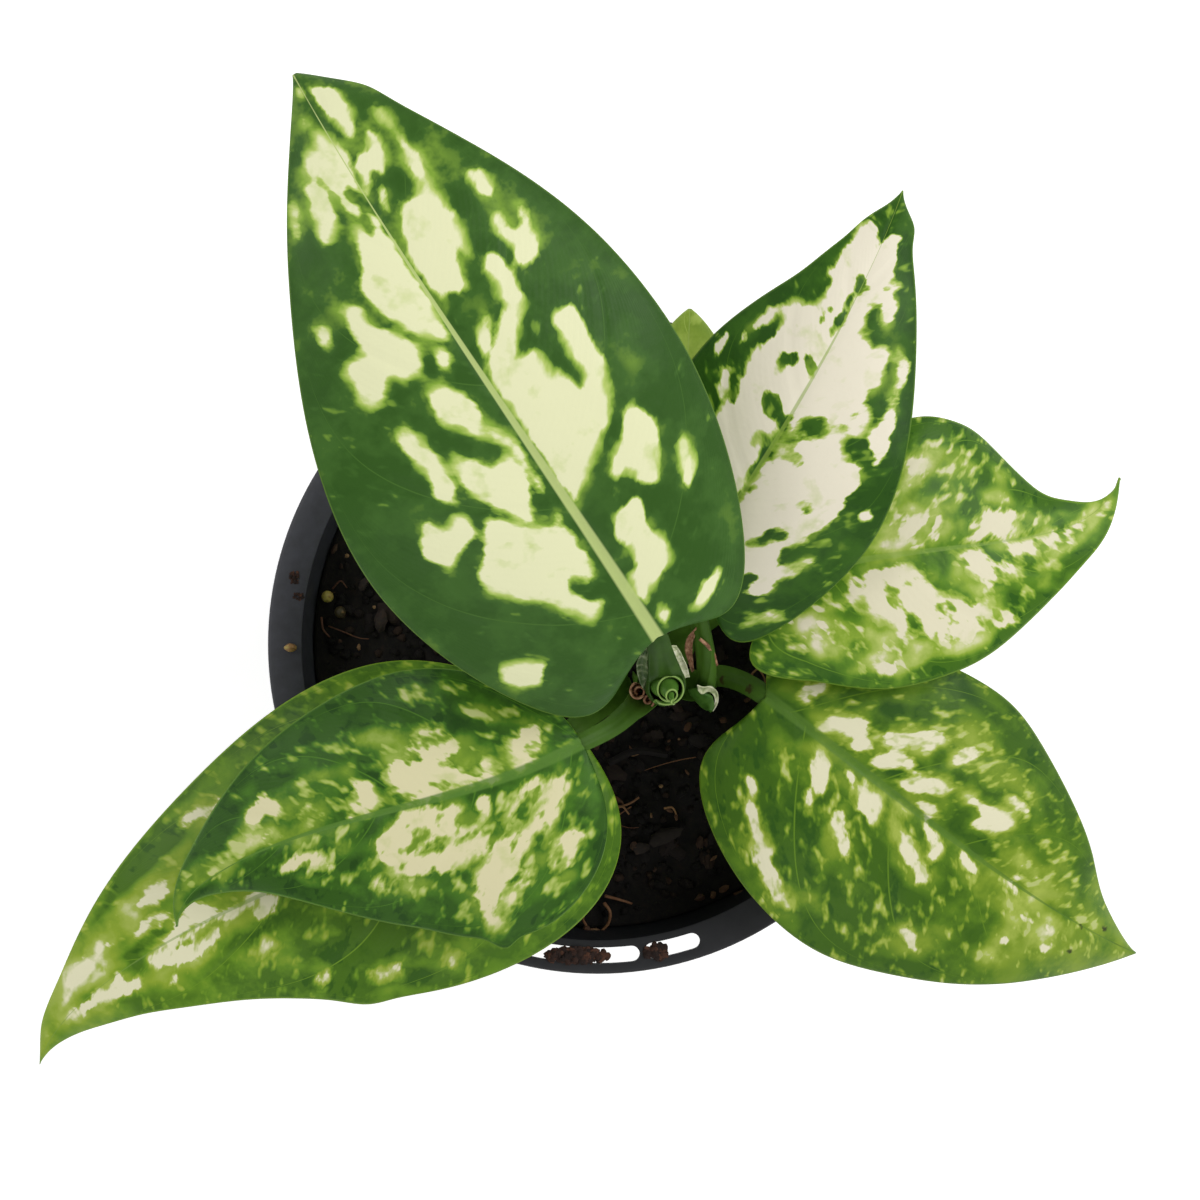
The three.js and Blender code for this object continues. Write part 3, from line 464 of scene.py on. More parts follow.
# The look of each blade. colours: sRGB, from green tissue to tissue without green: deep green, light green,
# lime, the yellow-green rim of a patch, and cream. midrib: its colour. rim: a patch's rim is this many mm
# wide. ragged: how far noise moves the rim, in mm. grow: mm added all round a patch. halo: how many mm round
# a patch the green is lighter. base: how much of the blade its lime flecks cover. mottle: how pale they are.
# soft: how many more of them the drawn lime areas have. fleck: their size in mm. glow: how much lighter the
# lime areas are all over. tip: how much lighter the green grows towards the tip. streaks: how strongly green
# streaks cut into the cream. dark_edge: how much greener the margin is. rib: how clearly the midrib shows,
# and how wide it is at its base, as a share. veins: where the first main veins start, left and right. line:
# how pale they are.
BLADE_FINISH = {
    "leaf_1": dict(
        colours=("#2b5015", "#3d6423", "#84a83a", "#b8cc6c", "#e8e9bd"), midrib="#bccc80",
        rim=2.6, ragged=1.0, grow=0.0, halo=2.0, base=-0.14, mottle=0.5, soft=1.0, glow=0.16, tip=0.22,
        fleck=3.2, streaks=0.05, dark_edge=0.0, rib=(0.9, 1.0), veins=(0.05, 0.06), line=0.32),
    "leaf_2": dict(
        colours=("#1d430b", "#386216", "#83a534", "#b6c66c", "#eae3ce"), midrib="#8fab44",
        rim=1.7, ragged=1.7, grow=-0.1, halo=1.2, base=0.02, mottle=0.6, soft=1.0, glow=0.2, tip=0.1,
        fleck=3.2, streaks=0.07, dark_edge=0.1, rib=(0.6, 0.6), veins=(0.05, 0.10), line=0.32),
    "leaf_3": dict(
        colours=("#2c580e", "#5a851d", "#8ca936", "#b4c368", "#e2dcbf"), midrib="#87a548",
        rim=3.2, ragged=2.6, grow=0.4, halo=6.5, base=0.32, mottle=0.9, soft=0.9, glow=0.36, tip=0.08,
        fleck=2.6, streaks=0.6, dark_edge=0.26, rib=(0.45, 0.7), veins=(0.05, 0.12), line=0.36),
    "leaf_4": dict(
        colours=("#2b520d", "#557a18", "#7c9628", "#a3b44d", "#e1ddbd"), midrib="#55792a",
        rim=3.0, ragged=1.7, grow=0.6, halo=5.0, base=0.2, mottle=0.82, soft=1.2, glow=0.2, tip=0.36,
        fleck=2.7, streaks=0.15, dark_edge=0.1, rib=(0.7, 1.0), veins=(0.05, 0.09), line=0.34),
    "leaf_5": dict(
        colours=("#22460f", "#44711c", "#7a982d", "#a8ba5e", "#dad4aa"), midrib="#587f30",
        rim=2.8, ragged=2.3, grow=0.6, halo=5.5, base=0.27, mottle=0.84, soft=1.0, glow=0.34, tip=0.16,
        fleck=2.8, streaks=0.5, dark_edge=0.45, rib=(0.85, 1.0), veins=(0.02, 0.16), line=0.32),
    "leaf_6": dict(
        colours=("#325a0e", "#648c20", "#8ba430", "#a6b754", "#e4e1be"), midrib="#7b9a44",
        rim=2.6, ragged=2.1, grow=0.5, halo=5.0, base=0.12, mottle=0.78, soft=0.7, glow=0.26, tip=0.42,
        fleck=3.2, streaks=0.2, dark_edge=0.08, rib=(0.5, 0.9), veins=(0.05, 0.09), line=0.36),
    "leaf_7": dict(
        colours=("#6a8a2c", "#86a03a", "#9fb650", "#a9bc60", "#d8dcb4"), midrib="#9bb25c",
        rim=1.2, ragged=1.5, grow=0.0, halo=1.0, base=0.20, mottle=0.6, soft=1.0, glow=0.14, tip=0.3,
        fleck=3.2, streaks=0.0, dark_edge=0.0, rib=(0.6, 1.0), veins=(0.05, 0.09), line=0.6),
}
VEIN_PITCH = 0.21    # from one main side vein to the next, as a share of the blade's length
MARGIN_THICKNESS, MIDRIB_THICKNESS = 0.3, 0.72
BLADE_GRID = 0.72    # from one point of a blade's mesh to the next, in mm


# ---------------------------------------------------------------- small helpers

def heading(degrees):
    """Level unit vectors at these compass angles, counted from +X towards +Y."""
    angle = np.radians(degrees)
    return np.stack([np.cos(angle), np.sin(angle), np.zeros_like(angle)], -1)


def unit(vectors):
    """The same directions at length 1."""
    return vectors / np.maximum(np.linalg.norm(vectors, axis=-1, keepdims=True), 1e-9)


def smooth_step(low, high, value):
    """An S curve from 0 at low to 1 at high, flat at both ends."""
    share = np.clip((value - low) / (high - low), 0, 1)
    return share * share * (3 - 2 * share)


def clouds(x, y, size, seed):
    """Smooth noise from about -1 to 1: seeded values on a square lattice of that size, blended between
    the lattice's corners with an S curve, plus two layers, each of half the size and half the strength.
    Each use has a seed of its own, so that no two patterns run alike."""
    lattice = np.random.default_rng(seed).uniform(-1, 1, (128, 128))
    total, strength = np.zeros(np.broadcast(x, y).shape), 1.0
    for octave in range(3):
        px, py = x / size * 2 ** octave + 37.3 * octave, y / size * 2 ** octave + 11.9 * octave
        ix, iy = np.floor(px).astype(int), np.floor(py).astype(int)
        sx, sy = smooth_step(0, 1, px - ix), smooth_step(0, 1, py - iy)
        corner = lambda a, b: lattice[(ix + a) % 128, (iy + b) % 128]
        low = corner(0, 0) * (1 - sx) + corner(1, 0) * sx
        high = corner(0, 1) * (1 - sx) + corner(1, 1) * sx
        total += strength * (low * (1 - sy) + high * sy)
        strength *= 0.5
    return total / 1.5


def grid_quads(rows, columns, wrap=False):
    """Corner numbers of the quads of a grid whose points are numbered row by row. Wrapped, its last column
    joins its first."""
    here = np.arange(rows - 1)[:, None] * columns
    c = np.arange(columns if wrap else columns - 1)[None, :]
    after, there = (c + 1) % columns, here + columns
    return np.stack([here + c, there + c, there + after, here + after], -1).reshape(-1, 4)


def fan(ring, hub, reverse=False):
    """Triangles from a hub point to a closed ring of point numbers."""
    after = np.roll(ring, -1)
    order = (after, ring) if reverse else (ring, after)
    return np.stack([*order, np.full(len(ring), hub)], -1)


def ring_faces(rings, sides):
    """Faces of a closed body whose points are rings of that many sides, one after another, and then a hub
    for either end."""
    first, count = np.arange(sides), rings * sides
    last = first + count - sides
    return [grid_quads(rings, sides, wrap=True), np.vstack([fan(first, count), fan(last, count + 1, True)])]


def signed_volume(points, faces):
    """Enclosed volume of a closed mesh, negative where its faces point inwards."""
    total = 0.0
    for face in faces:
        for k in range(1, face.shape[1] - 1):
            a, b, c = points[face[:, 0]], points[face[:, k]], points[face[:, k + 1]]
            total += np.einsum("ij,ij->", a, np.cross(b, c))
    return total


def new_object(name, points, faces, closed=True):
    """An object of one smooth mesh: points in mm, and faces as arrays of corner numbers, one array for each
    count of corners. Faces of a closed body are turned outwards."""
    points = np.asarray(points, float).reshape(-1, 3)
    if closed and signed_volume(points, faces) < 0:
        faces = [face[:, ::-1] for face in faces]
    mesh = bpy.data.meshes.new(name)
    mesh.from_pydata((points * MM).tolist(), [], [corners for face in faces for corners in face.tolist()])
    mesh.shade_smooth()
    thing = bpy.data.objects.new(name, mesh)
    bpy.context.scene.collection.objects.link(thing)
    return thing


def add_piece(name, points, faces, material, slot, replaces=(), layers=None, crease=None, closed=True):
    """One piece of the object, with layers of values at its points. Edges bent by more than crease degrees
    stay sharp."""
    piece = new_object(name, points, faces, closed)
    mesh = piece.data
    for layer, values in (layers or {}).items():
        values = np.asarray(values, np.float32)
        if values.ndim == 2:
            mesh.attributes.new(layer, "FLOAT_VECTOR", "POINT").data.foreach_set("vector", values.ravel())
        else:
            mesh.attributes.new(layer, "FLOAT", "POINT").data.foreach_set("value", values)
    mesh.update()
    if crease:
        mesh.set_sharp_from_angle(angle=np.radians(crease))
    mesh.materials.append(material)
    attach(piece, "root")
    if replaces:
        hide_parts(*replaces)
    return piece


def tube(centres, radii, sides):
    """A closed round tube: a ring of that many points round each centre, square to the path, its first
    direction carried from ring to ring, with a hub point at either end. Returns points and faces."""
    centres = np.asarray(centres, float)
    along = unit(np.gradient(centres, axis=0))
    start = np.cross(along[0], (0, 0, 1)) if abs(along[0][2]) < 0.9 else np.cross(along[0], (1, 0, 0))
    side = [unit(start)]
    for direction in along[1:]:
        side.append(unit(side[-1] - direction * np.dot(side[-1], direction)))
    side = np.array(side)
    other = np.cross(along, side)
    angle = 2 * np.pi * np.arange(sides) / sides
    ring = side[:, None] * np.cos(angle)[:, None] + other[:, None] * np.sin(angle)[:, None]
    points = (centres[:, None] + ring * radii[:, None, None]).reshape(-1, 3)
    return np.vstack([points, centres[0], centres[-1]]), ring_faces(len(centres), sides)


def gathered(parts):
    """Several bodies as one: their points stacked and their corner numbers moved on to match."""
    points, faces, start = [], {}, 0
    for part_points, part_faces in parts:
        points.append(part_points)
        for face in part_faces:
            faces.setdefault(face.shape[1], []).append(face + start)
        start += len(part_points)
    return np.vstack(points), [np.vstack(group) for group in faces.values()]


def lump(rows=5, columns=8):
    """A small closed ball of few faces, to be scaled and roughened: rings of latitude between two poles."""
    rise = np.pi * (np.arange(1, rows) / rows - 0.5)
    turn = 2 * np.pi * np.arange(columns) / columns
    x, y = np.cos(rise)[:, None] * np.cos(turn), np.cos(rise)[:, None] * np.sin(turn)
    z = np.broadcast_to(np.sin(rise)[:, None], x.shape)
    points = np.vstack([np.stack([x, y, z], -1).reshape(-1, 3), (0, 0, -1), (0, 0, 1)])
    return points, ring_faces(rows - 1, columns)


def lathe(profile, sides):
    """A closed body of revolution: the profile's points at every angle, with a pole at either end."""
    profile = np.array(profile, float)
    angle = 2 * np.pi * np.arange(sides) / sides
    r, z = profile[1:-1, 0][:, None], profile[1:-1, 1][:, None]
    ring = np.stack([r * np.cos(angle), r * np.sin(angle), z + 0 * angle], -1)
    points = np.vstack([ring.reshape(-1, 3), (0, 0, profile[0, 1]), (0, 0, profile[-1, 1])])
    return points, ring_faces(len(ring), sides)


def prism(outline, low, high):
    """A closed prism over a level outline, its two ends fans round their middles."""
    hub = outline.mean(0)
    points = np.vstack([outline + (0, 0, low), outline + (0, 0, high), hub + (0, 0, low), hub + (0, 0, high)])
    return points, ring_faces(2, len(outline))


def smooth_path(knots, places):
    """A centripetal Catmull-Rom curve: between each two knots a cubic whose slopes come from the knots
    around them, weighed by the square root of their distances. Places count the knots."""
    knots = np.asarray(knots, float)
    ends = np.vstack([2 * knots[0] - knots[1], knots, 2 * knots[-1] - knots[-2]])
    low = np.clip(np.floor(places).astype(int), 0, len(knots) - 2)
    share = (places - low)[:, None]
    before, a, b, after = (ends[low + k] for k in range(4))
    span = lambda p, q: np.sqrt(np.linalg.norm(q - p, axis=1))[:, None]
    d0, d1, d2 = span(before, a), span(a, b), span(b, after)
    slope_a = ((a - before) / d0 - (b - before) / (d0 + d1) + (b - a) / d1) * d1
    slope_b = ((b - a) / d1 - (after - a) / (d1 + d2) + (after - b) / d2) * d1
    square, cube = share ** 2, share ** 3
    return (a + slope_a * share + (3 * (b - a) - 2 * slope_a - slope_b) * square
            + (2 * (a - b) + slope_a + slope_b) * cube)


def on_photo(px, py, z):
    """The point at height z that the camera sees at a pixel of its frame."""
    reach = (CAMERA_AT[2] - z) / FOCAL_PIXELS
    middle = FRAME_PIXELS / 2
    return CAMERA_AT[0] + (px - middle) * reach, CAMERA_AT[1] - (py - middle) * reach, z


def thin_sheet(name, points, material, thickness, slot="leaf", replaces=(), layers=None):
    """An open grid of points given its thickness in mm by Solidify."""
    faces = [grid_quads(*points.shape[:2])]
    piece = add_piece(name, points, faces, material, slot, replaces, layers, closed=False)
    sheet = piece.modifiers.new("sheet", "SOLIDIFY")
    sheet.thickness, sheet.offset = thickness * MM, 0.0
    return piece


# ---------------------------------------------------------------- materials

def to_linear(hex_colour):
    """sRGB hex to the linear colour that a shader takes."""
    parts = np.array([int(hex_colour[i:i + 2], 16) for i in (1, 3, 5)]) / 255
    parts = np.where(parts <= 0.04045, parts / 12.92, ((parts + 0.055) / 1.055) ** 2.4)
    return (*parts, 1.0)


def add_node(tree, kind, links=None, stops=None, output=0, **settings):
    """Adds a shader node with its settings and gives back one of its outputs. Links gives its inputs, by name
    or number: another node's output, or a plain value. Stops are a colour ramp's places and colours. In a
    MapRange, inputs 1 and 2 are the range taken and 3 and 4 the range given, from 0 where 3 is left out; in
    a Mix, 6 and 7 are the colours."""
    node = tree.nodes.new("ShaderNode" + kind)
    for name, value in settings.items():
        setattr(node, name, value)
    for key, value in (links or {}).items():
        if isinstance(value, bpy.types.NodeSocket):
            tree.links.new(value, node.inputs[key])
        else:
            node.inputs[key].default_value = value
    if stops:
        ramp = node.color_ramp
        while len(ramp.elements) < len(stops):
            ramp.elements.new(0.5)
        for element, (place, colour) in zip(ramp.elements, stops):
            element.position, element.color = place, to_linear(colour)
    return node.outputs[output]


def new_material(name, **values):
    """A material with the values of its shader's own sockets, its node tree and its shader."""
    material = bpy.data.materials.new(name)
    material.use_nodes = True
    shader = material.node_tree.nodes["Principled BSDF"]
    for key, value in values.items():
        shader.inputs[key.replace("_", " ")].default_value = value
    return material, material.node_tree, shader


def blade_material(name, finish):
    """A living leaf blade: waxy skin over green tissue, so a soft satin sheen. One value, paleness, says
    how much leaf green is missing at each place, and a ramp turns it into deep green, light green, lime,
    a yellow-green rim and cream. It is the greatest of green clouds, lime flecks, cream patches by their
    depth in mm below the drawn outline, the pale lines of the main veins, and a painted highlight along the
    margin."""
    material, tree, shader = new_material(f"leaf_skin_{name}", IOR=1.42, Specular_IOR_Level=0.22)
    flat, run = [add_node(tree, "Attribute", output="Vector", attribute_name=layer)
                 for layer in ("flat", "run")]
    cream, lime, light, rib, margin, vein, under, speck = [
        add_node(tree, "Attribute", output="Fac", attribute_name=layer)
        for layer in ("cream", "lime", "light", "rib", "margin", "vein", "under", "speck")]
    smooth = {"interpolation_type": "SMOOTHSTEP"}

    # Green clouds 10 mm wide.
    cloud = add_node(tree, "TexNoise", {"Vector": flat, "Scale": 1 / 10, "Detail": 4.0, "Roughness": 0.6})
    green = add_node(tree, "MapRange", {0: cloud, 1: 0.36, 2: 0.66, 4: 0.3}, **smooth)
    green = add_node(tree, "Math", {0: green, 1: light}, operation="ADD")

    # Lime flecks 2 to 3 mm wide, drawn out along the veins: noise over a threshold that falls as the blade's
    # lime layer rises. A band 2 mm either side of a main vein stays greener.
    fleck = add_node(tree, "TexNoise", {"Vector": run, "Scale": 1 / finish["fleck"], "Detail": 1.7,
                                        "Roughness": 0.5})
    to_vein = add_node(tree, "Math", {0: vein, 1: finish["pitch"] / 2}, operation="PINGPONG")
    band = add_node(tree, "MapRange", {0: to_vein, 1: 2.4, 2: 0.6, 4: 0.28}, **smooth)
    beside_rib = add_node(tree, "MapRange", {0: rib, 1: 3.2, 2: 1.2, 4: 0.4}, **smooth)
    band = add_node(tree, "Math", {0: band, 1: beside_rib}, operation="MAXIMUM")
    open_lime = add_node(tree, "Math", {0: lime, 1: band}, operation="SUBTRACT")
    fleck = add_node(tree, "MapRange", {0: fleck, 3: -0.42, 4: 1.42}, clamp=False)
    flecked = add_node(tree, "Math", {0: open_lime, 1: 0.45, 2: fleck}, operation="MULTIPLY_ADD")
    flecked = add_node(tree, "MapRange", {0: flecked, 1: 0.44, 2: 1.06, 4: finish["mottle"]}, **smooth)

    # Cream patches: fine noise roughens the edge, and wide noise makes the rim narrow here and wide there.
    fine = add_node(tree, "TexNoise", {"Vector": run, "Scale": 1 / 2.6, "Detail": 2.6, "Roughness": 0.55})
    ragged = finish["ragged"] / 2
    moved = add_node(tree, "MapRange", {0: fine, 1: 0.25, 2: 0.75, 3: -ragged, 4: ragged})
    depth = add_node(tree, "Math", {0: cream, 1: moved}, operation="ADD")
    wide = add_node(tree, "TexNoise", {"Vector": flat, "Scale": 1 / 8, "Detail": 2.0})
    spread = add_node(tree, "MapRange", {0: wide, 1: 0.35, 2: 0.65, 3: 0.5, 4: 1.9}, **smooth)
    depth = add_node(tree, "Math", {0: depth, 1: spread}, operation="MULTIPLY")
    rim = finish["rim"]
    patch = add_node(tree, "MapRange", {0: depth, 1: -0.55 * rim, 2: 0.45 * rim, 3: 0.1, 4: 1.0}, **smooth)
    # A faint green shade on the cream, and green streaks 4 mm long on the more mottled leaves.
    shade = add_node(tree, "MapRange", {0: cloud, 1: 0.46, 2: 0.72, 4: 0.12}, **smooth)
    streak = add_node(tree, "TexNoise", {"Vector": run, "Scale": 1 / 4.2, "Detail": 2.5, "Roughness": 0.6})
    streak = add_node(tree, "MapRange", {0: streak, 1: 0.53, 2: 0.68, 4: finish["streaks"]}, **smooth)
    for share in (shade, streak):
        patch = add_node(tree, "Math", {0: patch, 1: share}, operation="SUBTRACT")

    # Main veins: a pale line 0.35 mm wide that shows on green only. The margin's thinner pale line is painted
    # highlight.
    line = add_node(tree, "MapRange", {0: to_vein, 1: 0.4, 2: 0.05, 4: finish["line"]}, **smooth)
    edge = add_node(tree, "MapRange", {0: margin, 1: 0.5, 2: 0.12, 4: 0.38}, **smooth)
    paleness = green
    for share in (flecked, patch, line, edge):
        paleness = add_node(tree, "Math", {0: paleness, 1: share}, operation="MAXIMUM")
    stops = list(zip((0.0, 0.3, 0.55, 0.78, 0.95), finish["colours"]))
    tissue = add_node(tree, "ValToRGB", {0: paleness}, stops)

    # The midrib's own colour, then dead specks, then the paler, duller underside.
    shown, width = finish["rib"]
    ribbed = add_node(tree, "MapRange", {0: rib, 1: 1.15 * width, 2: 0.65 * width, 4: shown}, **smooth)
    dead = add_node(tree, "MapRange", {0: speck, 1: -0.35, 2: 0.25, 4: 0.9}, **smooth)
    below = add_node(tree, "Math", {0: under, 1: 0.4}, operation="MULTIPLY")
    for share, colour in ((ribbed, finish["midrib"]), (dead, "#23260f"), (below, "#9fb478")):
        tissue = add_node(tree, "Mix", {0: share, 6: tissue, 7: to_linear(colour)}, output=2,
                          data_type="RGBA")
    tree.links.new(tissue, shader.inputs["Base Color"])
    gloss = add_node(tree, "MapRange", {0: cloud, 1: 0.3, 2: 0.7, 3: 0.36, 4: 0.5})
    tree.links.new(gloss, shader.inputs["Roughness"])

    # Fine parallel veins 1.8 mm apart and the skin's grain, as relief.
    ridge = add_node(tree, "Math", {0: vein, 1: 1.8 / 2}, operation="PINGPONG")
    grain = add_node(tree, "TexNoise", {"Vector": flat, "Scale": 1 / 1.6, "Detail": 3.0})
    relief = add_node(tree, "Math", {0: ridge, 1: 0.2, 2: grain}, operation="MULTIPLY_ADD")
    bump = add_node(tree, "Bump", {"Height": relief, "Strength": 0.3, "Distance": 0.2 * MM})
    tree.links.new(bump, shader.inputs["Normal"])
    return material


def mixed_material(name, stops, grain_mm, roughness, bump_mm, by_layer=None, scars=None, **values):
    """A surface of mixed colours: a ramp of them over noise of that grain in millimetres, with bump of that
    height from the same noise. A layer, if named, shifts the ramp from piece to piece. Scars are patches of
    one colour where the scar layer is high, broken up by fine noise."""
    material, tree, shader = new_material(name, Roughness=roughness, **values)
    place = add_node(tree, "TexCoord", output="Object")
    noise = add_node(tree, "TexNoise", {"Vector": place, "Scale": 1 / (grain_mm * MM), "Detail": 5.0,
                                        "Roughness": 0.6})
    shade = noise
    if by_layer:
        own = add_node(tree, "Attribute", output="Fac", attribute_name=by_layer)
        part = add_node(tree, "Math", {0: noise, 1: 0.3}, operation="MULTIPLY")
        shade = add_node(tree, "Math", {0: own, 1: 0.7, 2: part}, operation="MULTIPLY_ADD")
    colour = add_node(tree, "ValToRGB", {0: shade}, stops)
    if scars:
        layer = add_node(tree, "Attribute", output="Fac", attribute_name="scar")
        crumbly = add_node(tree, "TexNoise", {"Vector": place, "Scale": 1 / (1.2 * MM), "Detail": 3.0})
        share = add_node(tree, "Math", {0: layer, 1: crumbly}, operation="MULTIPLY")
        share = add_node(tree, "MapRange", {0: share, 1: 0.3, 2: 0.5, 4: 0.8})
        colour = add_node(tree, "Mix", {0: share, 6: colour, 7: to_linear(scars)}, output=2, data_type="RGBA")
    tree.links.new(colour, shader.inputs["Base Color"])
    bump = add_node(tree, "Bump", {"Height": noise, "Strength": 0.6, "Distance": bump_mm * MM})
    tree.links.new(bump, shader.inputs["Normal"])
    return material


def pot_material():
    """Moulded polypropylene, carbon black: a dull skin with fine mould grain, and a lighter grey that fades
    out from the left of the pot (-X) to its middle."""
    material, tree, shader = new_material("black_polypropylene", Roughness=0.5, Specular_IOR_Level=0.36)
    place = add_node(tree, "TexCoord", output="Object")
    grain = add_node(tree, "TexNoise", {"Vector": place, "Scale": 1 / (3 * MM), "Detail": 5.0,
                                        "Roughness": 0.6})
    # Lighter grey towards the left of the pot, fading out by its middle.
    across = add_node(tree, "SeparateXYZ", {"Vector": place}, output="X")
    greyer_left = add_node(tree, "MapRange", {0: across, 1: 5 * MM, 2: -60 * MM, 4: 0.5},
                    interpolation_type="SMOOTHSTEP")
    shade = add_node(tree, "Math", {0: grain, 1: 0.4, 2: greyer_left}, operation="MULTIPLY_ADD")
    colour = add_node(tree, "ValToRGB", {0: shade},
                      [(0.12, "#141518"), (0.3, "#1b1c1f"), (0.62, "#2d2e33"), (0.8, "#373840")])
    tree.links.new(colour, shader.inputs["Base Color"])
    bump = add_node(tree, "Bump", {"Height": grain, "Strength": 0.6, "Distance": 0.05 * MM})
    tree.links.new(bump, shader.inputs["Normal"])
    return material


POT_PLASTIC = pot_material()
# Moist peat and composted bark: nearly black, with brown crumbs.
PEAT = mixed_material(
    "moist_peat", [(0.35, "#0b0a09"), (0.58, "#14110e"), (0.78, "#241a13")], 2.2, 0.9, 0.5,
    Specular_IOR_Level=0.25)
CRUMB = mixed_material(
    "peat_crumb", [(0.2, "#0d0b09"), (0.55, "#17120e"), (0.82, "#2b1e15"), (0.97, "#4d3726")], 1.2, 0.88, 0.3,
    by_layer="tone", Specular_IOR_Level=0.25)
# Composted pine bark: brown to grey-brown plates with grain.
BARK = mixed_material(
    "pine_bark", [(0.15, "#120e0c"), (0.5, "#211813"), (0.8, "#3d2a1e"), (0.95, "#5b4332")], 1.6, 0.85, 0.3,
    by_layer="tone", Specular_IOR_Level=0.3)
# Single scraps of bark and husk: grey-brown to dry orange-brown.
SCRAP = mixed_material(
    "bark_scrap", [(0.2, "#161210"), (0.45, "#2b2521"), (0.68, "#4c3424"), (0.95, "#84694a")], 1.0, 0.85, 0.3,
    by_layer="tone", Specular_IOR_Level=0.25)
# Wet mix spilt on the rim: dark red-brown crumbs.
SPILL = mixed_material(
    "spilt_mix", [(0.15, "#1b100c"), (0.45, "#341f16"), (0.75, "#543424"), (0.95, "#70492f")], 0.8, 0.8, 0.3,
    by_layer="tone", Specular_IOR_Level=0.3)
# Coir and root fibres: dry orange-brown.
FIBRE = mixed_material(
    "coir_fibre", [(0.15, "#331d11"), (0.5, "#5f3a22"), (0.85, "#8a6740")], 1.0, 0.75, 0.05, by_layer="tone")
# Fleshy green stalk: smooth, satin, with brown corky scars where the scar layer says so.
STALK_GREEN = mixed_material(
    "leaf_stalk_skin", [(0.2, "#2a4712"), (0.5, "#45681f"), (0.8, "#5e7f34")], 5.0, 0.48, 0.05,
    by_layer="tone", scars="#3a2415", IOR=1.42, Specular_IOR_Level=0.2)
# The cane's older skin: duller green, turning straw-brown.
CANE_SKIN = mixed_material(
    "cane_skin", [(0.25, "#3e5c26"), (0.5, "#557035"), (0.8, "#7b7a4a")], 2.5, 0.5, 0.15, IOR=1.42)
# The rolled new leaf: fresh light green, its rolled edges nearly white.
NEW_LEAF = mixed_material(
    "rolled_leaf_skin", [(0.1, "#38611c"), (0.22, "#4f792b"), (0.45, "#8caa58"), (0.8, "#dbe4bc")], 3.0, 0.4,
    0.05, by_layer="tone", IOR=1.42, Specular_IOR_Level=0.3)
# Thin old sheath: grey-green film, ivory paper, and pink-brown where it has died.
MEMBRANE = mixed_material(
    "sheath_membrane", [(0.35, "#3f5a2c"), (0.5, "#5f7548"), (0.66, "#a3ac86")], 1.6, 0.5, 0.05)
PAPER_SHEATH = mixed_material(
    "sheath_paper", [(0.3, "#8d9c68"), (0.5, "#c5c9a4"), (0.7, "#e6e4cf")], 2.2, 0.6, 0.05)
DRY_SHEATH = mixed_material(
    "dry_sheath", [(0.32, "#57351f"), (0.5, "#96694c"), (0.68, "#c69f7c")], 1.3, 0.75, 0.15)
# Coated fertiliser prill: dull yellow resin skin, dirty where the mix has stuck to it.
GRAIN_COAT = mixed_material(
    "coated_fertiliser", [(0.2, "#38321c"), (0.42, "#8a673c"), (0.6, "#9c8f42"), (0.9, "#bcae6c")], 0.8, 0.5,
    0.08, by_layer="tone", Specular_IOR_Level=0.35)


# ---------------------------------------------------------------- leaf blades

def parabola(values, s):
    """The parabola through three values at s = 0, 0.5 and 1."""
    start, middle, end = values
    return start * (1 - s) * (1 - 2 * s) + 4 * middle * s * (1 - s) + end * s * (2 * s - 1)


def midrib(leaf):
    """The midrib from a fifth of its length behind the base to the tip: its bearing and rise follow
    parabolas, the curl turns the tip aside, and the points are the running sum of the directions."""
    step = 0.01
    s = np.arange(-20, 101) * step
    held = np.maximum(0, s)
    curled = np.maximum(0, (held - leaf["curl"][0]) / (1 - leaf["curl"][0])) ** 1.5
    bearing = parabola(leaf["bearing"], held) + leaf["curl"][1] * curled
    rise = np.radians(parabola(leaf["rise"], held))[:, None]
    along = heading(bearing) * np.cos(rise) + np.array([0, 0, 1.0]) * np.sin(rise)
    side = heading(bearing - 90)
    up = np.cross(side, along)
    steps = (along[1:] + along[:-1]) / 2 * leaf["length"] * step
    point = np.vstack([np.zeros(3), np.cumsum(steps, 0)])
    point += np.array(leaf["base"]) - point[20]
    return {"s": s, "point": point, "along": along, "side": side, "up": up, "bearing": bearing}


def on_rib(rib, key, s):
    """A midrib's values at the places s, read between its samples."""
    values = rib[key]
    if values.ndim == 1:
        return np.interp(s, rib["s"], values)
    return np.stack([np.interp(s, rib["s"], values[:, k]) for k in range(3)], -1)


def blade_places(leaf, t, v):
    """Where vein t crosses v on the flat blade: how far along the midrib, as a share of it, how many mm
    across it, the half width there and the reach. Veins sweep forward, so the margin is reached further along
    than the vein starts, and the base lobes pull it back. The width is a power curve up from the base times
    one down to the tip, plus a bell curve for each bump of the margin."""
    pick = lambda pair: np.where(v < 0, pair[0], pair[1])
    reach = t + BLADE_SWEEP * t * (1 - t) ** 1.3
    rounding, taper = pick(leaf["rounding"]), pick(leaf["taper"])
    widest = rounding / (rounding + taper)
    peak = widest ** rounding * (1 - widest) ** taper
    width = pick(leaf["half"]) * reach ** rounding * (1 - reach) ** taper / peak
    for side, at, spread, mm in leaf["bumps"]:
        bump = np.where(v * side > 0, mm, 0) * np.exp(-((reach - at) / spread) ** 2)
        width = width + bump * smooth_step(0, 0.08, 1 - reach)
    near = np.exp(-reach / 0.07)
    margin = reach - pick(leaf["lobe"]) * 4 * near * (1 - near)
    place = t + (margin - t) * np.abs(v) ** 1.6
    return place, width * v, width, reach


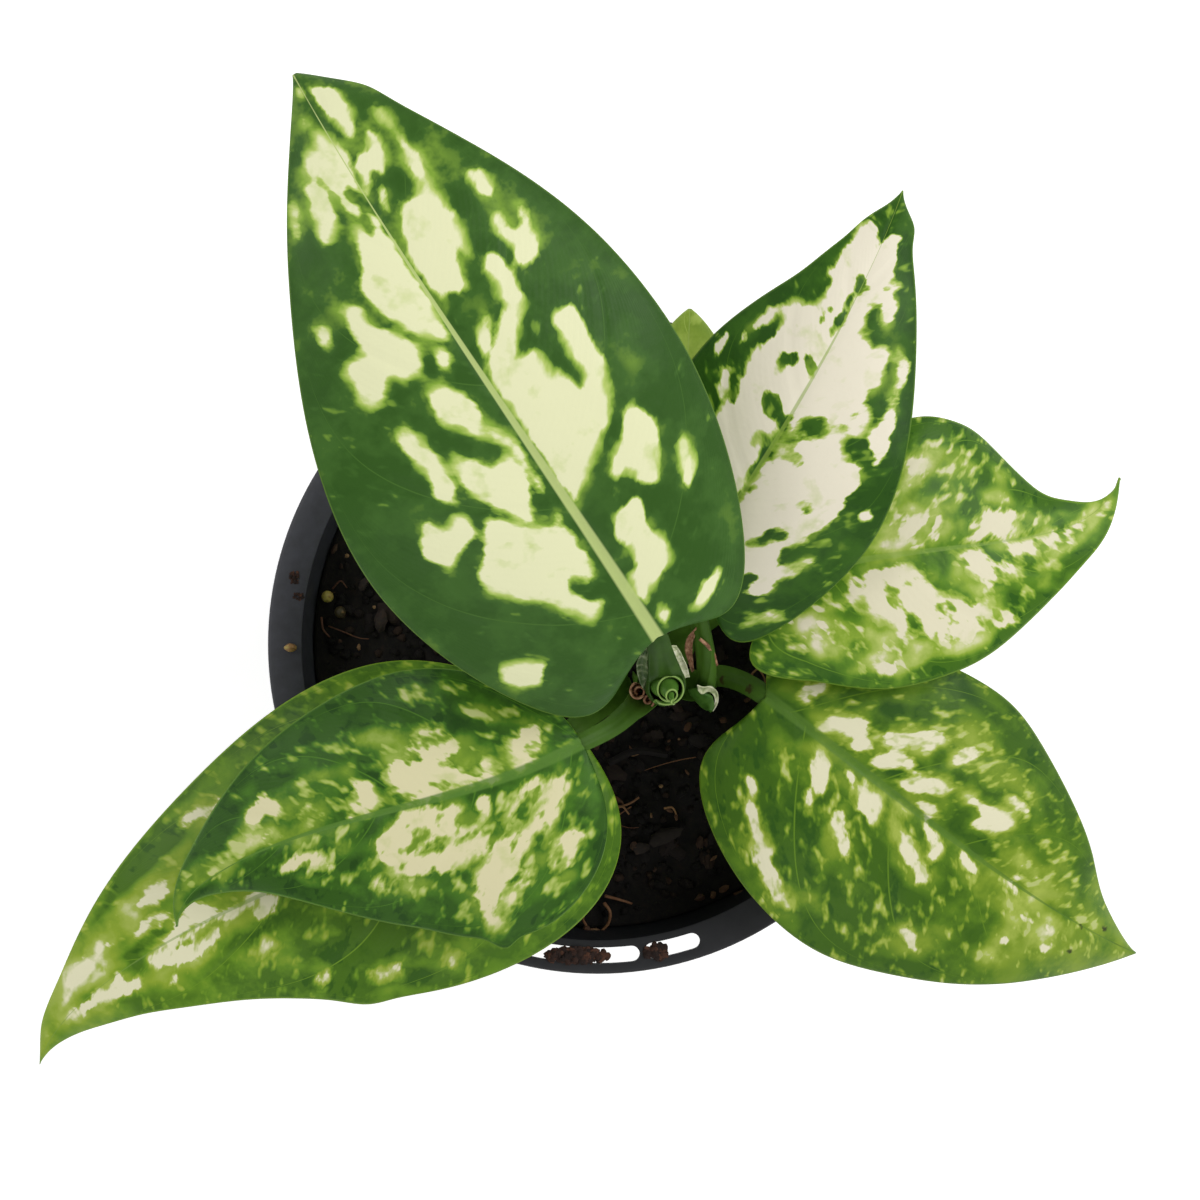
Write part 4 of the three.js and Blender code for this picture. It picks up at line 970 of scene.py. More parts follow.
def blade_middle(leaf, rib, t, v):
    """The blade's middle surface: out from the midrib by the flat place, and up by a shallow fold that
    turns down again towards the margin, plus the margin's waves."""
    place, across, width, reach = blade_places(leaf, t, v)
    away = np.abs(v)
    left, right, waves, start = leaf["wave"]
    ends = np.minimum(1, np.minimum(4 * reach, 4 * (1 - reach)))
    wave = np.where(v < 0, left, right) * away ** 2.2 * np.sin(2 * np.pi * (waves * reach + start)) * ends
    height = width * (BLADE_FOLD * away - BLADE_ARCH * away ** 2) + wave
    point, side, up = (on_rib(rib, key, place) for key in ("point", "side", "up"))
    return point + side * across[..., None] + up * height[..., None]


def read_outlines(text):
    """Outlines written as corner pairs in hundredths, a semicolon between them, as arrays of t and v."""
    outlines = [outline.split() for outline in text.split(";")]
    return [np.array([pair.split(",") for pair in pairs], float) / 100 for pairs in outlines if pairs]


def depth_in(outlines, leaf, x, y):
    """How deep each flat place lies inside the nearest outline, in mm, and below zero outside them all:
    the least distance to an edge, and inside where a level line from the place crosses the outline an odd
    number of times."""
    depth = np.full(x.shape, -8.0)
    for outline in outlines:
        place, across, _, _ = blade_places(leaf, outline[:, 0], outline[:, 1])
        corners = np.stack([place * leaf["length"], across], -1)
        nearest, inside = np.full(x.shape, 1e9), np.zeros(x.shape, bool)
        for (ax, ay), (bx, by) in zip(corners, np.roll(corners, -1, 0)):
            ex, ey = bx - ax, by - ay
            share = np.clip(((x - ax) * ex + (y - ay) * ey) / max(ex * ex + ey * ey, 1e-9), 0, 1)
            nearest = np.minimum(nearest, np.hypot(x - ax - share * ex, y - ay - share * ey))
            crosses = (ay > y) != (by > y)
            inside ^= crosses & (x < ax + ex * (y - ay) / (ey if abs(ey) > 1e-9 else 1e-9))
        depth = np.maximum(depth, np.where(inside, nearest, -nearest))
    return depth


def softened(values, rounds):
    """The mean of each grid value, counted twice, and its four neighbours, repeated."""
    for _ in range(rounds):
        padded = np.pad(values, 1, mode="edge")
        around = padded[:-2, 1:-1] + padded[2:, 1:-1] + padded[1:-1, :-2] + padded[1:-1, 2:]
        values = (around + 2 * values) / 6
    return values


def blade_pattern(name, leaf, number, t, x, y, inward):
    """The pattern's layers: the depth in mm below the cream outlines and below the dead specks', how many
    lime flecks there are, and how much lighter the green is. Places are bent by noise first, so that the
    drawn corners disappear, and the lime and deep green areas fade into one another."""
    finish, patches = BLADE_FINISH[name], PATCHES[name]
    bend = 0.6 if number == 1 else 1.0
    bent_x = x + bend * clouds(x, y, 3.2, 90 + number)
    bent_y = y + bend * clouds(x, y, 3.2, 120 + number)
    drawn = {kind: depth_in(read_outlines(patches.get(kind, "")), leaf, bent_x, bent_y)
             for kind in ("cream", "green", "lime", "deep", "speck")}
    cream = softened(np.minimum(drawn["cream"] + finish["grow"], -drawn["green"] - 0.2), 2)
    lit, shaded = (smooth_step(-1.8, 1.8, softened(drawn[kind], 4)) for kind in ("lime", "deep"))
    dark = finish["dark_edge"] * (1 - smooth_step(1.5, 7.0, inward)) * (1 - smooth_step(0.7, 0.95, t))
    lime = 0.36 * finish["soft"] * lit + finish["base"] + 0.2 * clouds(x, y, 12.0, 150 + number) \
        - dark - 0.68 * shaded
    drift = clouds(x, y, 5.0, 190 + number)
    halo = smooth_step(-finish["halo"], 0.3, cream) * np.clip(0.62 + 0.45 * drift, 0, 1)
    to_tip = smooth_step(0.35, 0.9, t) * (0.7 + 0.3 * clouds(x, y, 9.0, 170 + number))
    light = finish["glow"] * (lit + 0.5 * drift) + finish["tip"] * to_tip + 0.3 * halo \
        - 0.5 * dark - 0.4 * shaded
    return {"cream": cream, "lime": lime, "light": light, "speck": drawn["speck"]}


def blade_piece(name, leaf, number):
    """One blade as a closed sheet: its middle surface, lifted and lowered by half its thickness along its
    own normal, thinner towards the margin, with the midrib's groove and shallow side veins on top."""
    columns = int(max(leaf["half"]) * 2 / BLADE_GRID) // 2 * 2 + 1
    rows = int(leaf["length"] / BLADE_GRID)
    u = np.linspace(0.004, 0.997, rows)[:, None]
    t, v = np.broadcast_arrays(0.98 * u ** 1.35 + 0.02 * u, np.linspace(-1, 1, columns)[None, :])
    middle = blade_middle(leaf, midrib(leaf), t, v)
    normal = unit(np.cross(np.gradient(middle, axis=1), np.gradient(middle, axis=0)))
    place, y, width, _ = blade_places(leaf, t, v)
    x, away, inward = place * leaf["length"], np.abs(v), width - np.abs(y)

    # The vein coordinate in mm: veins leave the midrib and bend ever more towards the tip as they near the
    # margin.
    pitch = VEIN_PITCH * leaf["length"]
    start = np.where(v < 0, *BLADE_FINISH[name]["veins"])
    vein = (t - start - 0.13 * away - 0.012 * away / (1.02 - away)) * leaf["length"]
    to_vein = np.abs((vein + pitch / 2) % pitch - pitch / 2)
    waves = 0.22 * clouds(x, y, 11.0, 60 + number) - 0.16 * np.exp(-(to_vein / 1.6) ** 2)
    groove = 0.3 * np.exp(-(y / 0.9) ** 2) * smooth_step(0.05, 0.25, t) * (1 - t)
    relief = waves * smooth_step(1.0, 7.0, inward) - groove
    thickness = MARGIN_THICKNESS + (MIDRIB_THICKNESS - MARGIN_THICKNESS) * (1 - away ** 3)
    top = middle + normal * (thickness / 2 + relief)[..., None]
    below = middle - normal * (thickness / 2 - 0.6 * relief)[..., None]

    # Each ring of points runs over the top and back below, and each layer of values with it.
    points = np.concatenate([top, below[:, ::-1]], 1)
    points = np.vstack([points.reshape(-1, 3), points[0].mean(0), points[-1].mean(0)])
    both = lambda over, under: np.concatenate([over, under[:, ::-1]], 1).ravel()
    layers = blade_pattern(name, leaf, number, t, x, y, inward)
    layers |= {"rib": np.abs(y) / np.maximum(0.15, 1.5 * (1 - t / 0.85)), "margin": inward, "vein": vein}
    layers = {key: both(values, values) for key, values in layers.items()}
    layers["under"] = both(np.zeros_like(t), np.ones_like(t))
    for layer, along, across in (("flat", x, y), ("run", x - 0.6 * np.abs(y), y / 1.2)):
        shift = np.full(2 * rows * columns, 31.0 * number)
        layers[layer] = np.stack([both(along, along), both(across, across), shift], -1)
    layers = {key: np.concatenate([values, values[[0, -1]]]) for key, values in layers.items()}
    material = blade_material(name, {**BLADE_FINISH[name], "pitch": pitch})
    return add_piece(f"{name}_blade", points, ring_faces(rows, 2 * columns), material, "leaf", [name], layers)


# ---------------------------------------------------------------- leaf stalks

# How wide the stalks look, as a share of the solids: all of them, and those that are slimmer still.
STALK_SHARE, SLIM_STALKS = 0.87, {"leaf_2": 0.88, "leaf_5": 0.86}
# How light a stalk's green is, from 0 to 1; the others are 0.5. Leaf 1's darker stalk is painted shade.
STALK_TONE_AND_SHADE = {"leaf_1": 0.12, "leaf_2": 0.4, "leaf_5": 0.4}
# Corky scars on a stalk: pixel of the camera's frame, height and size in mm.
STALK_SCARS = {"leaf_4": [(724, 680, 126.5, 1.7), (748, 688, 134, 1.8), (733, 686, 128, 1.0)]}


def shoot_axis(z):
    """The line that the sheaths wrap: the cane's axis, and above it the leaning rolled leaf's."""
    lean = max(0.0, z - CANE_TOP) / (SPEAR_TIP[2] - CANE_TOP)
    return [foot + (tip - foot) * lean for foot, tip in zip(CANE_AT, SPEAR_TIP)] + [z]


def stalk_stations(leaf):
    """Rows along the stalk: x, y, z, bearing, radius, half angle, wall, how far the section is filled and how
    far it is sunk. They are the sheath round the shoot, the leaf's own stations, and the raised midrib."""
    bearing, radius, half_angle, bottom, top = leaf["sheath"]
    spread, filled = (1.2, 0.15) if half_angle > 90 else (0.65, 0.7)
    half_angle = min(172, half_angle * spread)
    rows = [[*shoot_axis(z), bearing, radius, half_angle, 1.0, 0.0, 0.0] for z in (bottom, top - 4, top)]
    fills = [filled, 1.0, 1.0, 1.0]
    rows += [[*station, fill, 0.0] for station, fill in zip(leaf["stations"], fills)]
    rib = midrib(leaf)
    for (s, *section), sunk in zip(KEEL, (0.9, 1.3, 0.9, 0.5)):
        rows.append([*on_rib(rib, "point", s), float(on_rib(rib, "bearing", s)), *section, 1.0, sunk])
    return np.array(rows)


def stalk_path(stations, rings_per_span):
    """The stalk's path: upright and straight in the sheath, then blended into a smooth curve. Returns the
    places, counted in stations, the rows between the stations there, the centres and the directions."""
    spans = len(stations) - 1
    places = np.arange(spans * rings_per_span + 1) / rings_per_span
    low = np.minimum(np.floor(places).astype(int), spans - 1)
    share = (places - low)[:, None]
    rows = stations[low] * (1 - share) + stations[low + 1] * share
    turn = smooth_step(1.2, 3, places)[:, None]
    knots, step = stations[:, :3], 1e-3
    ahead, behind = np.minimum(places + step, spans), np.maximum(places - step, 0)
    tangent = unit(smooth_path(knots, ahead) - smooth_path(knots, behind))
    centre = rows[:, :3] * (1 - turn) + smooth_path(knots, places) * turn
    return places, rows, centre, unit(np.array([0, 0, 1.0]) * (1 - turn) + tangent * turn)


def stalk_piece(name, leaf):
    """Sheath, petiole and the raised midrib below the blade, along one path. Each section is an arc round
    the path, its back towards the leaf's underside. In the sheath it is a thin wall round the shoot; in
    the petiole it is filled by a crowned top with a shallow channel; under the blade it sinks below it."""
    places, rows, centre, along = stalk_path(stalk_stations(leaf), rings_per_span=9)
    bearing, radius, half_angle, wall, fill, sunk = rows[:, 3:].T
    side = heading(bearing - 90)
    side = unit(side - along * np.sum(side * along, 1, keepdims=True))
    back = np.cross(along, side)
    centre = (centre + back * sunk[:, None])[:, None]
    back, side = back[:, None], side[:, None]
    across, half = np.linspace(-1, 1, 23)[None, :], np.radians(half_angle)[:, None]
    slim = 1 - (1 - SLIM_STALKS.get(name, 1.0)) * np.clip(places - 1.5, 0, 1)
    reach = STALK_SHARE * ((radius + wall / 2) * slim)[:, None]
    direction = back * np.cos(half * across)[..., None] + side * np.sin(half * across)[..., None]
    outer = centre + direction * reach[..., None]
    thin = centre + direction * (reach - 0.8 * (1 - 0.6 * across ** 2))[..., None]
    crown = reach * (0.42 * (1 - across ** 2) - 0.12 * np.exp(-(across / 0.32) ** 2))
    filled = centre + back * (reach * np.cos(half) - crown)[..., None] \
        + side * (0.985 * reach * np.sin(half) * across)[..., None]
    fill = smooth_step(0, 1, fill)[:, None, None]
    inner = thin * (1 - fill) + filled * fill

    # Each ring runs along the outside and back inside, and the two ends are closed by strips of quads.
    ring = np.concatenate([outer, inner[:, ::-1]], 1)
    count, size = ring.shape[:2]
    j = np.arange(size // 2 - 1)
    ends = np.stack([j, size - 1 - j, size - 2 - j, j + 1], -1)
    faces = [np.vstack([grid_quads(count, size, wrap=True), ends, (count - 1) * size + ends[:, ::-1]])]
    points = ring.reshape(-1, 3)
    scar = np.zeros(len(points))
    for px, py, z, size_mm in STALK_SCARS.get(name, ()):
        away = np.linalg.norm(points - on_photo(px, py, z), axis=1)
        scar = np.maximum(scar, 1 - smooth_step(0.4 * size_mm, 1.2 * size_mm, away))
    # The tone sets how light each stalk's green is; leaf 1's darker green is painted shade.
    layers = {"scar": scar, "tone": np.full(len(points), STALK_TONE_AND_SHADE.get(name, 0.5))}
    return add_piece(f"{name}_stalk", points, faces, STALK_GREEN, "leaf", [name], layers)


# ---------------------------------------------------------------- dry scraps of old sheaths

# Old sheaths round the shoot, each a thin sheet between two edges: its material, how far it bulges in mm,
# and the points that the two edges pass through: pixel of the camera's frame and height.
SHEATH_SCRAPS = {
    "sheath_membrane_left": (
        MEMBRANE, 0.7,
        [(647, 648, 161), (638, 660, 157), (637, 671, 152), (640, 683, 148), (644, 690, 145)],
        [(650, 647, 161), (647, 660, 158), (648, 671, 153), (650, 681, 149), (647, 690, 145)]),
    "sheath_paper_right": (
        PAPER_SHEATH, 0.4,
        [(670, 648, 165.5), (675, 656, 160.5), (680, 667, 154), (685, 680, 148)],
        [(677, 646, 163.5), (682, 655, 158.5), (687, 667, 152.5), (690, 677, 147)]),
    "dry_sheath_edge": (
        DRY_SHEATH, 0.4,
        [(696, 629, 147.8), (688, 637, 145.2), (685, 648, 142.6), (688, 660, 139.4), (692, 672, 135.8)],
        [(698.5, 629, 147), (693.5, 640, 144.2), (692, 650, 141.8), (693, 661, 138.8), (694, 671, 135.4)]),
    "dry_tube_edge": (
        DRY_SHEATH, 0.2,
        [(700, 638, 146.8), (708, 644, 145.4), (714, 653, 142.2), (717.5, 664, 139.2)],
        [(699, 640, 147.2), (706, 646, 145.8), (712, 655, 142.8), (716, 666, 139.6)]),
    "sheath_lip": (
        PAPER_SHEATH, 0.5,
        [(698, 691, 139), (702, 694, 138), (709, 692, 137), (714, 696, 136), (715, 703, 134),
         (712, 709, 132)],
        [(697, 685, 141), (704, 687, 140), (711, 687, 139), (717, 692, 137), (718, 702, 134),
         (713, 711, 132)]),
    "sheath_mouth": (
        NEW_LEAF, -0.6,
        [(687, 688, 128), (694, 699, 127), (703, 708, 127), (712, 711, 130)],
        [(699, 686, 138), (705, 692, 137), (712, 697, 136), (714, 709, 133)]),
}
# Curled ends of a dead sheath, seen end-on: middle pixel and its height, outer radius and height of the curl
# in mm, first angle in radians.
DRY_CURLS = [(638.5, 692, 142, 2.1, 6.0, 2.0), (648, 700, 141, 1.5, 5.0, 5.2)]


def sheath_scraps():
    """Each scrap runs between two smooth edges: a point across it is their mix, pushed out along the
    sheet's normal by a parabola and crumpled by noise."""
    rows, columns = 40, 12
    s = np.linspace(0, 1, columns)[None, :, None]
    for number, (name, (material, bulge, *rails)) in enumerate(SHEATH_SCRAPS.items()):
        edges = []
        for rail in rails:
            knots = np.array([on_photo(*corner) for corner in rail])
            edges.append(smooth_path(knots, np.linspace(0, len(knots) - 1, rows)))
        points = edges[0][:, None] * (1 - s) + edges[1][:, None] * s
        normal = unit(np.cross(np.gradient(points, axis=1), np.gradient(points, axis=0)))
        row, column = np.meshgrid(np.arange(float(rows)), np.arange(float(columns)), indexing="ij")
        push = bulge * 4 * s[..., 0] * (1 - s[..., 0]) + 0.22 * clouds(row, column * 1.6, 6.0, 200 + number)
        thin_sheet(name, points + normal * push[..., None], material, 0.22)


def dry_curls():
    """Each curl is an upright spiral that tightens inwards and narrows downwards, its edge uneven."""
    for number, (px, py, z, radius, height, first) in enumerate(DRY_CURLS, 1):
        turn, rise = np.linspace(0, 1, 60)[:, None], np.linspace(0, 1, 14)[None, :]
        angle = first + 2 * np.pi * 1.35 * turn
        reach = radius * (1 - 0.72 * turn) * (1 + 0.12 * np.sin(3 * rise + 5 * turn)) * (0.5 + 0.5 * rise)
        x, y, _ = on_photo(px, py, z)
        lean = 0.8 * (1 - rise)
        points = np.stack([x + reach * np.cos(angle) + lean, y + reach * np.sin(angle) + 0.6 * lean,
                           z - height * (1 - rise) + 0.5 * np.sin(4 * turn + 1.5) * rise], -1)
        thin_sheet(f"dry_curl_{number}", points, DRY_SHEATH, 0.42)


# ---------------------------------------------------------------- cane and rolled new leaf

def cane_piece():
    """The short cane: a body of revolution with two ring scars, shoulder and neck."""
    wide = CANE_RADIUS
    profile = [(0.0, 84.3), (4.2, 84.3), (wide, 85.8)]
    for scar in (98.0, 104.5):
        profile += [(wide, scar - 0.9), (wide + 0.25, scar - 0.4), (wide + 0.25, scar + 0.3),
                    (wide - 0.1, scar + 0.9)]
    profile += [(wide, 110.2), (3.1, 111.4), (3.0, 123.4), (0.0, CANE_TOP)]
    points, faces = lathe(profile, 40)
    points[:, :2] += CANE_AT
    return add_piece("cane_stem", points, faces, CANE_SKIN, "green_stem", ["cane"], crease=50)


def rolled_leaf_piece():
    """The new leaf, still rolled up: a sheet wound three turns into a scroll that fills its sheath. Height
    runs up the scroll and turn round it from the outer margin inwards. Each turn reaches higher than the
    one outside it, and its top winds on until it lies against the next one. The top leans forward."""
    turns = 3.2
    height, turn = np.linspace(0, 1, 90)[:, None] ** 0.8, np.linspace(0, 1, 200)[None, :]
    share = height * (0.79 + 0.18 * turn)
    near_top = smooth_step(0.95, 1.0, height)
    winds_on = (0.3 + 0.5 * smooth_step(0, 0.3, turn)) / turns * smooth_step(0.86, 1.0, height)
    radius = (3.2 + 1.1 * smooth_step(0.5, 0.6, share)) * (1 - 0.93 * np.minimum(1, turn + winds_on)) \
        * (1 - 0.22 * smooth_step(0.8, 0.98, share))
    angle = 2 * np.pi * turns * turn + 3.6 + 0.8 * share
    foot, tip = np.array(SPEAR_FOOT), np.array(SPEAR_TIP)
    along = unit(tip - foot)
    east = unit(np.array([1.0, 0, 0]) - along * along[0])
    north = np.cross(along, east)
    aside = np.array([-0.5, 1.5, 0]) * smooth_step(0.5, 0.75, share)[..., None] \
        + np.array([1.0, -3.6, 0]) * smooth_step(0.72, 0.99, share)[..., None]
    wavy = along * (0.5 * np.sin(angle) * near_top)[..., None]
    centre = foot + (tip - foot) * share[..., None] + wavy + aside
    points = centre + east * (radius * np.cos(angle))[..., None] + north * (radius * np.sin(angle))[..., None]
    # The sheet is paler at its outer margin and at its top, and painted highlight lightens its innermost
    # turn's top.
    pale = 0.3 * np.maximum(smooth_step(0.992, 1.0, height), smooth_step(0.01, 0.0, turn)) \
        + 0.12 * smooth_step(0.84, 1.0, height) + 0.2 * smooth_step(0.93, 1.0, turn) * near_top
    return thin_sheet("rolled_leaf_scroll", points, NEW_LEAF, 0.36, "green_stem", ["rolled_leaf"],
                      {"tone": pale.ravel()})


# ---------------------------------------------------------------- pot

# The solid's own profile with rounded edges, radius and height: out along the base, up the outside, over
# the rim and down the inside.
POT_PROFILE = [
    (0, 0), (10, 0), (11, 1.6), (41.5, 1.6), (43, 0), (48.6, 0), (49.4, 0.3), (49.8, 1), (60.1, 83.2),
    (60.5, 84), (65.6, 87.7), (66.3, 88.8), (68.4, 113.1), (68.9, 113.4), (73.3, 113.4), (73.6, 113.1),
    (73.6, 109.8), (73.9, 109.5), (74.7, 109.5), (75, 109.8), (75, 114.2), (74.8, 114.7), (74.2, 115),
    (67.9, 115), (67.3, 114.8), (67.1, 114.3), (64.9, 89.6), (64.4, 89), (59.3, 85.2), (59, 84.6),
    (48.4, 3.6), (48, 3.2), (0, 3.2)]


def slot_prism(middle_degrees):
    """One curved slot through the flat rim as a cutter: an arc with round ends, drawn as a closed outline
    and carried down through the rim."""
    inner, outer = RIM_SLOTS["inner"], RIM_SLOTS["outer"]
    middle, corner = (inner + outer) / 2, (outer - inner) / 2
    half = np.degrees((RIM_SLOTS["length"] / 2 - corner) / middle)
    sweep, turn = np.linspace(-half, half, 16), np.linspace(0, 180, 12)[1:-1]
    right, left = (heading(middle_degrees + end) * middle for end in (half, -half))
    outline = np.vstack([
        heading(middle_degrees + sweep) * outer,
        right + heading(middle_degrees + half + turn) * corner,
        heading(middle_degrees + sweep[::-1]) * inner,
        left + heading(middle_degrees - half + 180 + turn) * corner])
    return prism(outline, POT_HEIGHT - 3.5, POT_HEIGHT + 2.0)


def pot_openings():
    """The cutters for two groups of rim slots and a ring of round drain holes in the base."""
    count, middle = RIM_SLOTS["count"], (RIM_SLOTS["inner"] + RIM_SLOTS["outer"]) / 2
    pitch = np.degrees((RIM_SLOTS["length"] + RIM_SLOTS["rib"]) / middle)
    cutters = [slot_prism(group + (k - (count - 1) / 2) * pitch)
               for group in RIM_SLOTS["middles"] for k in range(count)]
    for k in range(DRAIN_HOLES["count"]):
        centre = heading(360.0 * k / DRAIN_HOLES["count"] + DRAIN_HOLES["first"]) * DRAIN_HOLES["circle"]
        ring = heading(np.arange(24) * 15.0) * DRAIN_HOLES["radius"] + centre
        cutters.append(prism(ring, -3.0, 6.0))
    return gathered(cutters)


def pot_piece():
    """The nursery pot: its profile turned in fine steps, then cut by its rim slots and drain holes."""
    pot = add_piece("nursery_pot", *lathe(POT_PROFILE, 180), POT_PLASTIC, "pot_plastic", ["pot"])
    cutter = new_object("pot_openings", *pot_openings())
    cut = pot.modifiers.new("openings", "BOOLEAN")
    cut.operation, cut.solver, cut.object = "DIFFERENCE", "EXACT", cutter
    pot.data = bpy.data.meshes.new_from_object(pot.evaluated_get(bpy.context.evaluated_depsgraph_get()))
    pot.modifiers.clear()
    bpy.data.objects.remove(cutter)
    pot.data.shade_smooth()
    pot.data.set_sharp_from_angle(angle=np.radians(42))
    return pot


# ---------------------------------------------------------------- potting mix and what lies on it

def soil_height(x, y):
    """Height of the mix: a low mound with small waves that die out at the pot's wall."""
    share = np.minimum(1, np.hypot(x, y) / (MOUTH_RADIUS - 1))
    waves = 0.9 * np.sin(0.21 * x + 1.3) * np.sin(0.19 * y + 0.4) \
        + 0.6 * np.sin(0.27 * x - 0.22 * y + 2.1) + 0.35 * np.sin(0.31 * x + 0.36 * y + 0.7)
    return SOIL_LEVEL + SOIL_MOUND * (1 - share ** 2) + waves * (1 - share ** 6)


def mix_piece():
    """The body of the mix: turned below, a gap inside the pot's wall, with a crumbly top whose height is the
    mound plus noise in two sizes, flat at the wall."""
    *below, mouth = WALL_INSIDE
    slope = (mouth[0] - below[-1][0]) / (mouth[1] - below[-1][1])
    edge = below[-1][0] + slope * (SOIL_LEVEL - below[-1][1]) - SOIL_GAP
    profile = [(0, below[0][1] + SOIL_GAP)] + [(radius - SOIL_GAP, z + SOIL_GAP) for radius, z in below]
    rings, sides = 90, 300
    profile += [(edge * k / rings, SOIL_LEVEL) for k in range(rings, -1, -1)]
    points, faces = lathe(profile, sides)
    top = points[:, 2] > SOIL_LEVEL - 0.01
    x, y = points[top, 0], points[top, 1]
    crumbs = 0.9 * clouds(x, y, 5.5, 7) + 0.8 * np.abs(clouds(x, y, 2.6, 8))
    points[top, 2] = soil_height(x, y) + (crumbs - 0.5) * smooth_step(edge, edge - 6, np.hypot(x, y))
    return add_piece("potting_mix_body", points, faces, PEAT, "potting_mix", ["soil"])


def laid_lumps(x, y, z, sizes, turn, draw):
    """Copies of one small lump at these places: each is scaled to its half lengths, roughened and tilted by
    the seeded draw, and turned by its angle in radians. Returns their points and faces."""
    lump_points, lump_faces = lump()
    count = len(x)
    rough = 1 + draw.uniform(-0.28, 0.28, (count, len(lump_points)))
    body = lump_points[None] * rough[..., None] * np.asarray(sizes)[:, None, :]
    body[..., 2] += np.tan(draw.uniform(-0.5, 0.5, count))[:, None] * body[..., 0] * 0.5
    cos, sin = np.cos(turn)[:, None], np.sin(turn)[:, None]
    points = np.stack([body[..., 0] * cos - body[..., 1] * sin + x[:, None],
                       body[..., 0] * sin + body[..., 1] * cos + y[:, None], body[..., 2] + z[:, None]], -1)
    start = (np.arange(count) * len(lump_points))[:, None, None]
    return points.reshape(-1, 3), [(face[None] + start).reshape(-1, face.shape[1]) for face in lump_faces]


def scattered(count, reach, seed, sizes, shape, depth):
    """Lumps laid all over the mix by a seeded draw, out to this reach from its middle: each has a size
    between two limits, half lengths of that size times the shape, and is sunk by a share of it. Returns
    their points, their faces and a tone from 0 to 1 at each point."""
    draw = np.random.default_rng(seed)
    radius, angle = reach * np.sqrt(draw.uniform(0, 1, count)), draw.uniform(0, 360, count)
    x, y, _ = (heading(angle) * radius[:, None]).T
    size = draw.uniform(*sizes, count)
    points, faces = laid_lumps(x, y, soil_height(x, y) - depth * size, size[:, None] * np.array(shape),
                               draw.uniform(0, 2 * np.pi, count), draw)
    return points, faces, np.repeat(draw.uniform(0, 1, count) ** 2.2, len(points) // count)


# Single scraps that the photograph shows on the mix: pixel of the camera's frame, half length, half width and
# half thickness in mm, bearing, and tone from dark to light.
SOIL_SCRAPS = [
    (641, 752, 2.5, 0.35, 0.3, 22, 0.95), (632, 750, 1.3, 0.3, 0.3, -60, 0.8),
    (688, 727, 1.3, 0.8, 0.4, 60, 0.75), (723, 720, 0.9, 0.7, 0.5, 10, 0.7),
    (687, 772, 0.8, 0.3, 0.3, -45, 0.85), (661, 786, 0.5, 0.45, 0.45, 0, 1.2),
    (651, 815, 0.35, 0.6, 0.3, 10, 0.95), (669, 810, 1.0, 0.4, 0.3, -30, 0.75),
    (676, 817, 0.4, 0.8, 0.3, 10, 0.8), (641, 848, 2.0, 1.2, 0.8, 20, 0.42),
    (634, 846, 1.0, 0.9, 0.7, 70, 0.6), (664, 836, 4.2, 1.7, 0.8, 24, 0.28),
    (714, 858, 1.0, 0.4, 0.3, 35, 0.85), (700, 898, 1.2, 0.8, 0.6, 20, 0.62),
    (713, 895, 0.9, 0.7, 0.6, 80, 0.75), (724, 889, 1.2, 0.7, 0.5, 35, 0.78),
    (739, 894, 1.5, 0.6, 0.5, 20, 0.7), (705, 913, 0.8, 0.5, 0.5, 40, 0.9),
    (679, 739, 0.3, 0.3, 0.3, 0, 1.0), (669, 741, 0.5, 0.25, 0.3, 30, 0.8),
    (619, 800, 1.3, 0.5, 0.4, -40, 0.75), (596, 934, 1.9, 1.1, 0.6, -12, 0.88),
    (587, 929, 0.9, 0.8, 0.6, 50, 0.7), (720, 765, 0.5, 0.4, 0.4, 0, 0.6),
    (700, 690, 1.0, 0.5, 0.4, 80, 0.6), (747, 700, 0.9, 0.5, 0.4, 20, 0.7),
    (655, 870, 0.6, 0.4, 0.4, 60, 0.6), (334, 549, 1.3, 0.6, 0.5, 60, 0.6),
    (346.5, 555.5, 0.5, 0.45, 0.4, 0, 1.1), (374, 607, 0.4, 0.4, 0.4, 0, 1.25),
    (381, 620, 2.6, 1.5, 0.9, 80, 0.45), (364, 584, 1.6, 1.0, 0.7, 60, 0.42),
    (359, 647.5, 0.45, 0.75, 0.4, 0, 1.0), (340, 641, 0.5, 0.5, 0.4, 0, 0.6)]
# Fibres seen there: the pixels and heights above the mix that each passes through, its radius and its tone.
SOIL_FIBRES = [
    ([(605, 896, 1), (618, 899, 2), (632, 904, 1)], 0.4, 0.6),
    ([(604, 903, 1), (610, 912, 2), (608, 924, 1.5), (601, 932, 1)], 0.45, 0.65),
    ([(608, 796, 1), (616, 806, 2), (630, 803, 1), (639, 797, 1.5)], 0.33, 0.7),
    ([(612, 812, 1), (622, 806, 2.2), (629, 814, 1)], 0.3, 0.8),
    ([(613, 822, 1), (618, 812, 1.6), (612, 800, 1)], 0.3, 0.8),
    ([(747, 683, 1), (753, 672, 2.4), (762, 666, 1.2)], 0.3, 0.8),
    ([(757, 667, 1), (763, 676, 2.2), (766, 686, 1)], 0.25, 0.8),
    ([(586, 926, 1), (583, 918, 2), (590, 906, 1)], 0.35, 0.6),
    ([(664, 808, 0.8), (672, 807, 1.6), (677, 816, 0.8)], 0.28, 0.85),
    ([(321, 617, 1), (323, 629, 1.5), (329, 637, 1)], 0.3, 0.3),
    ([(332, 589, 1), (341, 581, 2), (347, 588, 1)], 0.22, 0.25),
    ([(328, 626, 0.8), (344, 632, 1.4), (359, 638, 1), (369, 639, 0.8)], 0.18, 0.3)]
# Potting mix spilt on the rim: middle pixel, half lengths in pixels, the number of lumps and their mean half
# length in mm.
RIM_SPILLS = [(576, 955.5, 31, 7, 330, 0.6), (656, 952, 11, 7, 130, 0.55), (294.5, 577.5, 5, 6, 60, 0.26),
              (299, 596, 5.5, 3.5, 40, 0.24)]


